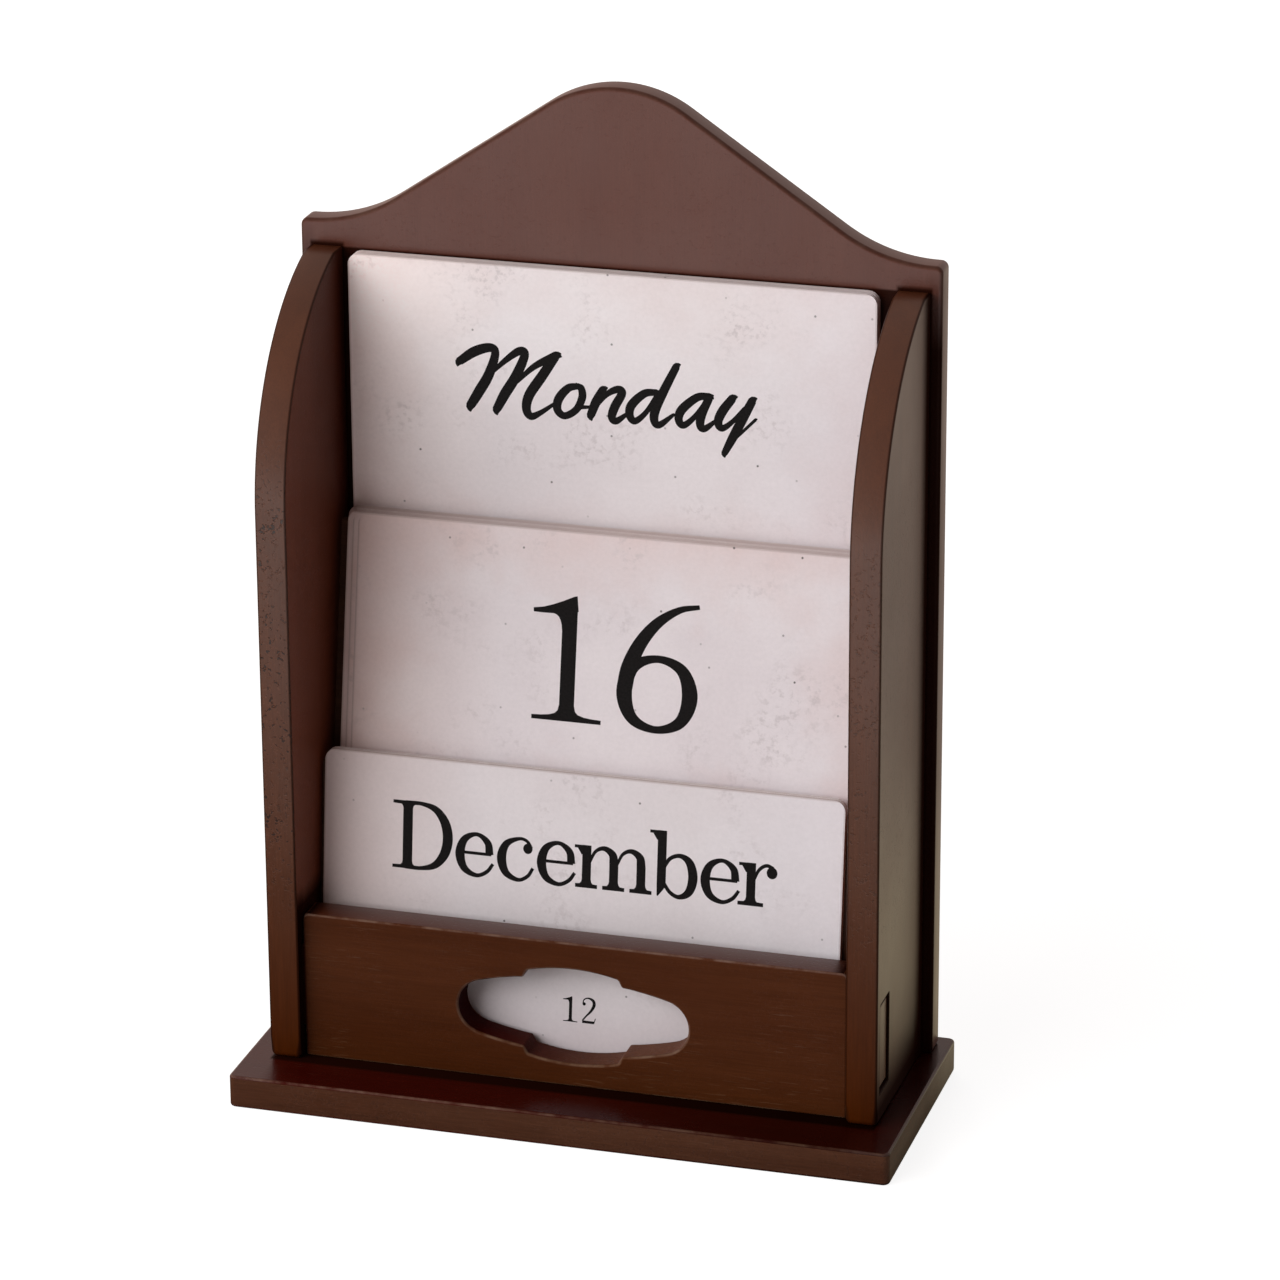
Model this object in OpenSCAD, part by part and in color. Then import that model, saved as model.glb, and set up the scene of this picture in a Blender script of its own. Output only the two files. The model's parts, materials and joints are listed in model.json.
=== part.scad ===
// Wooden perpetual calendar: a desk stand with three tiers of loose two-sided cards.
// Weekday cards stand upright at the back, date cards lean in the middle, and month
// cards lean behind a front panel whose window shows the lower part of the month card.
// X runs to the right, Y to the back and Z up, from under the middle of the base.

/* [Cards] */
// Width of every card
card_w = 142; // [115:1:200]
// Height of every card
card_h = 81.5; // [65:0.5:110]
// Thickness of the card stock
card_t = 0.3; // [0.2:0.05:0.6]
// Air between neighbouring cards of a leaning stack
card_gap = 0.05; // [0.04:0.01:0.15]
// Radius of the card corners
card_corner = 3; // [1:0.5:8]
// Room between a centred card and each side panel
card_room = 3.6; // [3.4:0.1:8]

/* [Tiers] */
// Lean of the month cards, degrees from upright
month_lean = 6.8; // [4:0.2:8.4]
// Lean of the date cards, degrees from upright
date_lean = 10; // [8.5:0.5:14]
// Height of the date cards that stands hidden behind the month cards
month_cover = 19.2; // [12:0.2:26]
// Height of the weekday cards that stands hidden behind the date cards
date_cover = 12.8; // [9:0.2:20]
// Depth of the pocket between the back board and the date card rest
weekday_pocket = 3.9; // [2.6:0.1:8]
// Thickness of the two leaning card rests
rest_t = 2; // [1.5:0.1:4]
// Distance from the top of the cards down to the top of their rest
rest_drop = 4; // [2:0.5:8]
// Thickness of the two card shelves
shelf_t = 4; // [3:0.5:8]
// Depth of the grooves that hold the rests and shelves in the side panels
groove_depth = 2.5; // [1.5:0.1:4]

/* [Side panels] */
// Thickness of the side panels
side_t = 8.5; // [7:0.1:14]
// Height of the side panels above the tops of the weekday cards
side_rise = 0.7; // [0.2:0.1:10]
// Length of the flat at the top of a side panel
side_flat = 6.4; // [4:0.2:14]
// Height of the curved part of a side panel's front edge
curve_drop = 58.4; // [44:0.2:80]

/* [Front panel] */
// Thickness of the front panel
front_t = 8.8; // [7:0.1:12]
// Height of the front panel
front_h = 41; // [36:0.5:60]
// Distance of the front panel behind the side panels' front edges
front_setback = 3.5; // [2:0.1:10]
// Height of the through tenons
tenon_h = 23.4; // [16:0.2:30]
// Distance of the tenon ends below the outer faces of the side panels
tenon_sink = 0.6; // [0.2:0.1:2]
// Width of the oval window
window_w = 63; // [50:0.5:80]
// Height of the oval window
window_h = 20.4; // [16:0.2:24]
// Radius of the long arcs of the oval
window_arc_r = 75; // [60:1:120]
// Width of the window's raised middle
window_mid_w = 26; // [18:0.5:34]
// Height of the window's raised middle
window_mid_h = 26; // [24.5:0.2:28]
// Radius of the arcs above and below the window's raised middle
window_mid_r = 85; // [60:1:120]

/* [Back board] */
// Thickness of the back board
back_t = 7.5; // [6:0.1:12]
// Reach of the back board past each side panel
back_overhang = 3; // [0:0.1:10]
// Height of the back board's shoulders above the side panels
shoulder_rise = 6.8; // [2:0.2:20]
// Length of the flat on each shoulder
shoulder_flat = 2.2; // [1:0.2:8]
// Height of the bell-shaped top above the shoulders
bell_h = 40.8; // [30:0.2:60]
// Radius of the round crest of the bell
crest_r = 33; // [20:1:40]
// Radius of the hollow sweep at each foot of the bell
foot_r = 43.6; // [25:0.2:50]

/* [Base] */
// Thickness of the base board
base_t = 9; // [7:0.1:15]
// Reach of the base past each side panel
base_side_reach = 6.9; // [3:0.1:20]
// Reach of the base in front of the side panels
base_front_reach = 14.6; // [8:0.1:40]
// Reach of the base behind the back board
base_back_reach = 3.6; // [0:0.1:20]

/* [Screws] */
// Shank diameter of the wood screws
screw_d = 3; // [2.5:0.1:3.5]
// Head diameter of the wood screws
screw_head_d = 6; // [5.5:0.1:7]
// Length of the wood screws
screw_l = 20; // [18:0.5:24]
// Depth of a screw head below the wood's face
screw_sink = 0.4; // [0.2:0.1:1]
// Distance of the middle screws from the centre line
screw_spread = 52; // [40:1:60]

/* [Clearances] */
// Play of a shelf or rest in its groove, on each face
groove_play = 0.1; // [0.05:0.01:0.2]
// Play of a tenon in its mortise, on each face
mortise_play = 0.3; // [0.1:0.05:0.6]
// Play between the front panel's shoulders and the side panels
shoulder_play = 0.3; // [0.1:0.05:0.6]
// Play in front of each leaning stack and around the weekday cards
pocket_play = 0.2; // [0.1:0.05:0.4]
// Play under each card
card_seat = 0.05; // [0.02:0.01:0.1]
// Play of a screw in its hole, on each side
screw_play = 0.05; // [0.03:0.01:0.1]

/* [Hidden] */
$fn = 64;
month_count = 6;
date_count = 16;
weekday_count = 4;

wood_color = [0.27, 0.14, 0.09];
inner_wood_color = [0.22, 0.11, 0.08];
card_color = [0.87, 0.82, 0.83];
screw_color = [0.72, 0.62, 0.38];

// Sideways places of the cards, as left by hand: the two front date cards sit to the
// right and the rest of that deck is skewed a little to the left.
month_shift = -2.3;
weekday_shift = -1;
date_front_shift = 2.9;
date_second_shift = 1.3;
date_third_shift = -0.2;
date_skew = -0.11;

// Widths, from the card outwards
inner_w = card_w + 2 * card_room;
outer_w = inner_w + 2 * side_t;
back_w = outer_w + 2 * back_overhang;
base_w = outer_w + 2 * base_side_reach;
side_mid_x = (inner_w + side_t) / 2;
housed_w = inner_w + 2 * (groove_depth - groove_play);

// Heights, from the base upwards
floor_z = base_t;
month_top_z = floor_z + card_h * cos(month_lean);
date_z = month_top_z - month_cover;
date_top_z = date_z + card_h * cos(date_lean);
weekday_z = date_top_z - date_cover;
month_rest_top_z = month_top_z - rest_drop;
date_rest_top_z = date_top_z - rest_drop;
side_top_z = weekday_z + card_h + side_rise;
curve_z = side_top_z - curve_drop;
shoulder_z = side_top_z + shoulder_rise;
window_z = floor_z + front_h / 2;

// Depths, measured forwards from the front face of the back board
card_pitch = card_t + card_gap;
weekday_pitch = (weekday_pocket - 2 * pocket_play - card_t) / (weekday_count - 1);
date_rest_front = weekday_pocket
    + (date_rest_top_z - date_z) * tan(date_lean)
    + rest_t / cos(date_lean);
date_front = date_rest_front + date_count * card_pitch / cos(date_lean);
month_rest_front = date_front + pocket_play
    + rest_t / cos(month_lean)
    + (date_z - floor_z) * tan(month_lean);
month_front = month_rest_front + month_count * card_pitch / cos(month_lean);
side_d = month_front + pocket_play + front_t + front_setback;
base_d = base_back_reach + back_t + side_d + base_front_reach;

// Places along the depth
back_y = base_d / 2 - base_back_reach - back_t;
side_front_y = back_y - side_d;
front_y = side_front_y + front_setback;
month_y = back_y - month_front;
month_rest_y = back_y - month_rest_front;
date_y = back_y - date_front;
date_rest_y = back_y - date_rest_front;
weekday_y = back_y - weekday_pocket + pocket_play;

// Arc of a side panel's front edge, tangent to the straight part below it
curve_run = side_d - side_flat;
curve_r = (curve_run * curve_run + curve_drop * curve_drop) / (2 * curve_run);

// The flanks of the bell are the lines that touch both the crest and the foot circles
foot_x = back_w / 2 - shoulder_flat;
bell_reach = norm([foot_x, crest_r + foot_r - bell_h]);
bell_turn = atan2(crest_r + foot_r - bell_h, foot_x);
flank_angle = 90 - bell_turn - acos((crest_r + foot_r) / bell_reach);

// The ends of the oval window are round and touch its long arcs
window_arc_c = window_arc_r - window_h / 2;
window_arc_past = window_arc_r - window_w / 2;
window_end_x = (window_arc_c * window_arc_c - window_arc_past * window_arc_past) / (2 * window_arc_past);
window_end_r = window_w / 2 - window_end_x;
window_touch_x = window_end_x * window_arc_r / (window_arc_r - window_end_r);

// Screws up through the base go into both sides, the front panel and the back board
side_screw_from_front = 24;
side_screw_from_back = 8;
base_screw_places = [
    for (s = [-1, 1]) each [
        [s * side_mid_x, side_front_y + side_screw_from_front],
        [s * side_mid_x, back_y - side_screw_from_back],
        [s * screw_spread, front_y + front_t / 2],
        [s * screw_spread, back_y + back_t / 2]
    ]
];
// Screws through the back board go into the rear edges of the sides
back_screw_low = 26;
back_screw_mid = 10;
back_screw_top = 30;
back_screw_heights = [
    floor_z + back_screw_low,
    date_z + back_screw_mid,
    side_top_z - back_screw_top
];
screw_head_h = (screw_head_d - screw_d) / 2;
screw_tip = 4;
screw_recess_w = 0.9;
screw_recess_h = 1.1;
through = 1;

month_nodes = [for (i = [1:month_count]) str("month_card_", i)];
date_nodes = [for (i = [1:date_count]) str("date_card_", i)];
weekday_nodes = [for (i = [1:weekday_count]) str("weekday_card_", i)];
wood_nodes = [
    "base_board", "back_board", "left_side_panel", "right_side_panel", "front_panel",
    "month_rest", "date_rest", "date_shelf", "weekday_shelf"
];
screw_nodes = ["base_screws", "back_screws"];

// Four corners, in depth and height, of a board that leans back: front_y is where the
// plane of its front face meets the height foot_z
function leaning_profile(front_y, foot_z, low_z, high_z, thick, lean) = [
    for (p = [[0, low_z], [thick, low_z], [thick, high_z], [0, high_z]])
        [front_y + p[0] / cos(lean) + (p[1] - foot_z) * tan(lean), p[1]]
];

function month_rest_back(z) =
    month_rest_y + rest_t / cos(month_lean) + (z - floor_z) * tan(month_lean);

function date_rest_back(z) =
    date_rest_y + rest_t / cos(date_lean) + (z - date_z) * tan(date_lean);

function date_shift(i) =
    i == 1 ? date_front_shift :
    i == 2 ? date_second_shift :
    date_third_shift + (i - 3) * date_skew;

// A profile drawn in depth and height, as long as w across the middle
module across(w) {
    rotate([90, 0, 90])
        linear_extrude(w, center = true)
            children();
}

// The four boards that the side panels hold; grow widens them into their grooves
module month_rest_board(w, grow = 0) {
    across(w)
        polygon(leaning_profile(
            month_rest_y - grow / cos(month_lean), floor_z,
            floor_z - grow, month_rest_top_z + grow, rest_t + 2 * grow, month_lean));
}

module date_rest_board(w, grow = 0) {
    across(w)
        polygon(leaning_profile(
            date_rest_y - grow / cos(date_lean), date_z,
            date_z - grow, date_rest_top_z + grow, rest_t + 2 * grow, date_lean));
}

module date_shelf_board(w, grow = 0) {
    low_z = date_z - shelf_t;
    across(w)
        polygon([
            [month_rest_back(low_z) + groove_play - grow, low_z - grow],
            [back_y, low_z - grow],
            [back_y, date_z + grow],
            [month_rest_back(date_z) + groove_play - grow, date_z + grow]
        ]);
}

module weekday_shelf_board(w, grow = 0) {
    low_z = weekday_z - shelf_t;
    across(w)
        polygon([
            [date_rest_back(low_z) + groove_play - grow, low_z - grow],
            [back_y, low_z - grow],
            [back_y, weekday_z + grow],
            [date_rest_back(weekday_z) + groove_play - grow, weekday_z + grow]
        ]);
}

module grooves() {
    groove_w = inner_w + 2 * groove_depth;
    month_rest_board(groove_w, groove_play);
    date_rest_board(groove_w, groove_play);
    date_shelf_board(groove_w, groove_play);
    weekday_shelf_board(groove_w, groove_play);
}

// A countersunk wood screw that points up, with its head's face at zero
module screw_body(grow = 0) {
    rotate_extrude()
        polygon([
            [0, 0],
            [screw_head_d / 2 + grow, 0],
            [screw_d / 2 + grow, screw_head_h],
            [screw_d / 2 + grow, screw_l - screw_tip],
            [grow, screw_l + grow],
            [0, screw_l + grow]
        ]);
}

module wood_screw() {
    difference() {
        screw_body();
        for (turn = [0, 90])
            rotate(turn)
                cube([screw_d, screw_recess_w, 2 * screw_recess_h], center = true);
    }
}

module screw_hole() {
    mouth_h = screw_sink + through;
    screw_body(screw_play);
    translate([0, 0, -mouth_h])
        cylinder(h = mouth_h, d = screw_head_d + 2 * screw_play);
}

module at_base_screws() {
    for (place = base_screw_places)
        translate([place[0], place[1], screw_sink])
            children();
}

module at_back_screws() {
    for (s = [-1, 1], z = back_screw_heights)
        translate([s * side_mid_x, back_y + back_t - screw_sink, z])
            rotate([90, 0, 0])
                children();
}

module tenon_block(w, grow = 0) {
    translate([-w / 2, front_y - grow, window_z - tenon_h / 2 - grow])
        cube([w, front_t + 2 * grow, tenon_h + 2 * grow]);
}

module base_board() {
    color(wood_color)
        difference() {
            translate([-base_w / 2, -base_d / 2, 0])
                cube([base_w, base_d, base_t]);
            at_base_screws() screw_hole();
        }
}

// Outline of the back board: straight sides, flat shoulders and a bell between them
module back_outline() {
    half_w = back_w / 2;
    crest_c = bell_h - crest_r;
    touch = [sin(flank_angle), cos(flank_angle)];
    crest_touch = [0, crest_c] + crest_r * touch;
    foot_touch = [foot_x, foot_r] - foot_r * touch;
    translate([0, shoulder_z])
        difference() {
            union() {
                translate([0, crest_c])
                    circle(crest_r);
                polygon([
                    [half_w, 0], [foot_x, 0], foot_touch, crest_touch,
                    [-crest_touch[0], crest_touch[1]], [-foot_touch[0], foot_touch[1]],
                    [-foot_x, 0], [-half_w, 0],
                    [-half_w, floor_z - shoulder_z], [half_w, floor_z - shoulder_z]
                ]);
            }
            for (s = [-1, 1])
                translate([s * foot_x, foot_r])
                    circle(foot_r);
        }
}

module back_board() {
    color(wood_color)
        difference() {
            translate([0, back_y + back_t, 0])
                rotate([90, 0, 0])
                    linear_extrude(back_t)
                        back_outline();
            at_base_screws() screw_hole();
            at_back_screws() screw_hole();
        }
}

// Outline of a side panel, in depth and height: straight below, curved above
module side_outline() {
    translate([side_front_y, floor_z])
        square([side_d, curve_z - floor_z]);
    translate([back_y - side_flat, curve_z])
        square([side_flat, curve_drop]);
    intersection() {
        translate([side_front_y, curve_z])
            square([curve_run, curve_drop]);
        translate([side_front_y + curve_r, curve_z])
            circle(curve_r);
    }
}

module right_side() {
    difference() {
        translate([side_mid_x, 0, 0])
            across(side_t)
                side_outline();
        grooves();
        tenon_block(outer_w + 2 * through, mortise_play);
        at_base_screws() screw_hole();
        at_back_screws() screw_hole();
    }
}

module right_side_panel() {
    color(wood_color)
        right_side();
}

module left_side_panel() {
    color(wood_color)
        mirror([1, 0, 0])
            right_side();
}

// The window is an oval with a taller middle, in the middle of the panel
module window_outline() {
    mid_c = window_mid_r - window_mid_h / 2;
    intersection() {
        square([2 * window_touch_x, window_h], center = true);
        translate([0, window_arc_c]) circle(window_arc_r);
        translate([0, -window_arc_c]) circle(window_arc_r);
    }
    for (s = [-1, 1])
        translate([s * window_end_x, 0])
            circle(window_end_r);
    intersection() {
        square([window_mid_w, window_mid_h], center = true);
        translate([0, mid_c]) circle(window_mid_r);
        translate([0, -mid_c]) circle(window_mid_r);
    }
}

module front_panel() {
    panel_w = inner_w - 2 * shoulder_play;
    color(wood_color)
        difference() {
            union() {
                translate([-panel_w / 2, front_y, floor_z])
                    cube([panel_w, front_t, front_h]);
                tenon_block(outer_w - 2 * tenon_sink);
            }
            translate([0, front_y + front_t + through, window_z])
                rotate([90, 0, 0])
                    linear_extrude(front_t + 2 * through)
                        window_outline();
            at_base_screws() screw_hole();
        }
}

module month_rest() {
    color(inner_wood_color)
        month_rest_board(housed_w);
}

module date_rest() {
    color(inner_wood_color)
        date_rest_board(housed_w);
}

module date_shelf() {
    color(inner_wood_color)
        date_shelf_board(housed_w);
}

module weekday_shelf() {
    color(inner_wood_color)
        weekday_shelf_board(housed_w);
}

module base_screws() {
    color(screw_color)
        at_base_screws() wood_screw();
}

module back_screws() {
    color(screw_color)
        at_back_screws() wood_screw();
}

module card_outline() {
    long = card_w - 2 * card_corner;
    tall = card_h - 2 * card_corner;
    translate([0, card_h / 2]) {
        square([long, card_h], center = true);
        square([card_w, tall], center = true);
        for (sx = [-1, 1], sy = [-1, 1])
            translate([sx * long / 2, sy * tall / 2])
                circle(card_corner);
    }
}

// One card of a stack whose front plane meets the floor at front_y; each card stands on
// its own rear edge
module stacked_card(shift, front_y, foot_z, lean, depth) {
    lift = (depth + card_t) * tan(lean) + card_seat;
    color(card_color)
        translate([shift, front_y, foot_z])
            rotate([-lean, 0, 0])
                translate([0, depth + card_t, lift])
                    rotate([90, 0, 0])
                        linear_extrude(card_t)
                            card_outline();
}

module month_card(i) {
    stacked_card(month_shift, month_y, floor_z, month_lean, (i - 1) * card_pitch);
}

module date_card(i) {
    stacked_card(date_shift(i), date_y, date_z, date_lean, (i - 1) * card_pitch);
}

module weekday_card(i) {
    stacked_card(weekday_shift, weekday_y, weekday_z, 0, (i - 1) * weekday_pitch);
}

base_board();
back_board();
left_side_panel();
right_side_panel();
front_panel();
month_rest();
date_rest();
date_shelf();
weekday_shelf();
base_screws();
back_screws();
for (i = [1:month_count])
    month_card(i);
for (i = [1:date_count])
    date_card(i);
for (i = [1:weekday_count])
    weekday_card(i);
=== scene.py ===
import json
import math

import bmesh
import bpy
import numpy as np
from mathutils import Matrix, Vector
from mathutils.geometry import delaunay_2d_cdt


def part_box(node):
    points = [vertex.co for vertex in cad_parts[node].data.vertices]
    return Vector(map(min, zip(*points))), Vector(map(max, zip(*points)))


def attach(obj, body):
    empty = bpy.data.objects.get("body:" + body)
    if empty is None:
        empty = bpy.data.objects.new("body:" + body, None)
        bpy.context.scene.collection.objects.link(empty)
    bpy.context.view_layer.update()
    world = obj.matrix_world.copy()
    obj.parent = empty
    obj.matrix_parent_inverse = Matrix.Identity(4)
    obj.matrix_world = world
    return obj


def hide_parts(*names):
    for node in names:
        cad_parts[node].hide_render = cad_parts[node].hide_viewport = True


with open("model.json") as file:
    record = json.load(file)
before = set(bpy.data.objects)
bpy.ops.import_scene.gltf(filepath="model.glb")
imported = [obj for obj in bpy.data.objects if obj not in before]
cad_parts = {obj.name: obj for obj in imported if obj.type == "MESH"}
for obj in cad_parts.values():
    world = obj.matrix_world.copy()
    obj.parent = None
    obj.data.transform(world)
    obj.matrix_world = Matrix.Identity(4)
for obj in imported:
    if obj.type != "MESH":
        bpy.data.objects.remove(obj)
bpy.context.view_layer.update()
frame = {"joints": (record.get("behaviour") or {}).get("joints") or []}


# Base board
# A flat hardwood board, sawn to size, its edges eased and its corners rounded by hand, stained
# a reddish brown and waxed. Everything else stands on it and is screwed up from below.
def softened(corners, count=6):
    """A closed outline of (x, y, ease) points; each (x, y, radius, ease) corner becomes an arc."""
    points = []
    for number, (x, y, radius, ease) in enumerate(corners):
        here = np.array((x, y))
        back = np.array(corners[number - 1][:2]) - here
        ahead = np.array(corners[(number + 1) % len(corners)][:2]) - here
        back /= np.linalg.norm(back)
        ahead /= np.linalg.norm(ahead)
        half_angle = math.acos(np.clip(back @ ahead, -1, 1)) / 2
        if radius == 0 or half_angle > 1.5:
            points.append((x, y, ease))
            continue
        middle = (back + ahead) / np.linalg.norm(back + ahead)
        centre = here + middle * radius / math.sin(half_angle)
        first = here + back * radius / math.tan(half_angle) - centre
        last = here + ahead * radius / math.tan(half_angle) - centre
        start = math.atan2(first[1], first[0])
        sweep = (math.atan2(last[1], last[0]) - start + math.pi) % (2 * math.pi) - math.pi
        for step in range(count + 1):
            angle = start + sweep * step / count
            points.append((centre[0] + radius * math.cos(angle), centre[1] + radius * math.sin(angle), ease))
    return np.array(points)


def rectangle(left, low, right, high, radius, ease):
    """The four corners of a rectangle, for softened."""
    return [(x, y, radius, ease) for x, y in ((left, low), (right, low), (right, high), (left, high))]


def anticlockwise(loop):
    """Whether a closed loop of points turns to the left."""
    x, y = loop[:, 0], loop[:, 1]
    return np.sum(x * np.roll(y, -1) - y * np.roll(x, -1)) > 0


def filled(loops):
    """Triangles, as numbers into the loops' points in a row, that fill the first loop but not the others."""
    points = [Vector(point[:2]) for loop in loops for point in loop]
    faces = []
    first = 0
    for loop in loops:
        numbers = list(range(first, first + len(loop)))
        faces.append(numbers if anticlockwise(loop) else numbers[::-1])
        first += len(loop)
    found = delaunay_2d_cdt(points, [], faces, 1, 1e-7)
    number = [made_from[0] for made_from in found[3]]
    triangles = []
    for triangle, inside in zip(found[2], found[5]):
        if list(inside) == [0]:
            triangles.append([number[corner] for corner in triangle])
    return triangles


def eased_board(thickness, place, outline, openings=(), pockets=(), rim=0):
    """A board in millimetres, cut to an outline of (x, y, ease) points, with both faces' edges rounded.

    Openings go right through. Pockets are (x, y, ((radius, depth), ...)), turned into the near face.
    The walls of the openings take the second material, and the rim takes the one numbered rim.
    """
    # A narrow flat ring beside the rounding keeps the shading of each face flat
    flat_margin = 0.2
    board = bmesh.new()
    wear_and_highlight = board.verts.layers.float.new("edge_rounding")

    def ring(points, depths, rounding_weight):
        made = []
        for (x, y), depth in zip(points, np.broadcast_to(depths, len(points))):
            made.append(board.verts.new(Vector(place(x, y, depth)) * 0.001))
            made[-1][wear_and_highlight] = rounding_weight
        return made

    def skin(rings, kind=0):
        for low, high in zip(rings, rings[1:]):
            for number in range(len(low)):
                strip = board.faces.new((low[number - 1], low[number], high[number], high[number - 1]))
                strip.material_index = kind

    near_loops = []
    far_loops = []
    for number, loop in enumerate([outline, *openings]):
        if anticlockwise(loop) != (number == 0):
            loop = loop[::-1]
        ahead = np.roll(loop, -1, axis=0)[:, :2] - loop[:, :2]
        normal = np.column_stack((ahead[:, 1], -ahead[:, 0])) / np.linalg.norm(ahead, axis=1)[:, None]
        before = np.roll(normal, 1, axis=0)
        mitre = (normal + before) / (1 + np.sum(normal * before, axis=1))[:, None]
        flat = loop[:, :2] - mitre * (loop[:, 2:] + flat_margin)
        near = [ring(flat, 0, 0)]
        far = [ring(flat, thickness, 0)]
        for angle in np.radians((0, 22.5, 45, 67.5, 90)):
            inset = loop[:, :2] - mitre * loop[:, 2:] * (1 - math.sin(angle))
            sunk = loop[:, 2] * (1 - math.cos(angle))
            rounding_weight = math.sin(2 * angle)
            near.append(ring(inset, sunk, rounding_weight))
            far.append(ring(inset, thickness - sunk, rounding_weight))
        skin(near)
        skin([near[-1], far[-1]], 1 if number else rim)
        skin(far[::-1])
        near_loops.append((flat, near[0]))
        far_loops.append((flat, far[0]))

    turns = np.radians(np.arange(0, 360, 15))
    circle = np.column_stack((np.cos(turns), np.sin(turns)))
    for x, y, turned in pockets:
        rings = [ring(circle * radius + (x, y), depth, 0) for radius, depth in turned]
        skin(rings)
        board.faces.new(rings[-1])
        near_loops.append((circle * turned[0][0] + (x, y), rings[0]))

    for loops in (near_loops, far_loops):
        corners = [corner for loop in loops for corner in loop[1]]
        for triangle in filled([loop[0] for loop in loops]):
            board.faces.new([corners[number] for number in triangle])
    bmesh.ops.recalc_face_normals(board, faces=board.faces)
    for face in board.faces:
        face.smooth = True
    mesh = bpy.data.meshes.new("board")
    board.to_mesh(mesh)
    board.free()
    mesh.set_sharp_from_angle(angle=math.radians(35))
    return mesh


def piece(name, mesh, materials, node, body):
    """Puts a finished mesh in the scene in place of its CAD node."""
    made = bpy.data.objects.new(name, mesh)
    mesh.name = name
    bpy.context.scene.collection.objects.link(made)
    for material in materials:
        mesh.materials.append(material)
    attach(made, body)
    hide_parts(node)


def shader(name):
    """An empty material, its node tree and its principled shader."""
    material = bpy.data.materials.new(name)
    material.use_nodes = True
    tree = material.node_tree
    tree.nodes.clear()
    surface = tree.nodes.new("ShaderNodeBsdfPrincipled")
    output = tree.nodes.new("ShaderNodeOutputMaterial")
    tree.links.new(surface.outputs["BSDF"], output.inputs["Surface"])
    return material, tree, surface


def add(tree, kind, sockets, **settings):
    """A node with its settings, and with values or links in its sockets; gives its first output."""
    made = tree.nodes.new(kind)
    for name, value in settings.items():
        setattr(made, name, value)
    for name, value in sockets.items():
        if isinstance(value, bpy.types.NodeSocket):
            tree.links.new(value, made.inputs[name])
        else:
            made.inputs[name].default_value = value
    return made.outputs[0]


def blend(tree, amount, first, second, how="MIX"):
    """One colour laid over another."""
    made = tree.nodes.new("ShaderNodeMix")
    made.data_type = "RGBA"
    made.blend_type = how
    for socket, value in zip((made.inputs[0], made.inputs[6], made.inputs[7]), (amount, first, second)):
        if isinstance(value, bpy.types.NodeSocket):
            tree.links.new(value, socket)
        else:
            socket.default_value = value
    return made.outputs[2]


def steps(tree, value, low, high, out_low=0.0, out_high=1.0):
    """A value rescaled from one range to another and kept inside it."""
    return add(tree, "ShaderNodeMapRange", {0: value, 1: low, 2: high, 3: out_low, 4: out_high})


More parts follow.
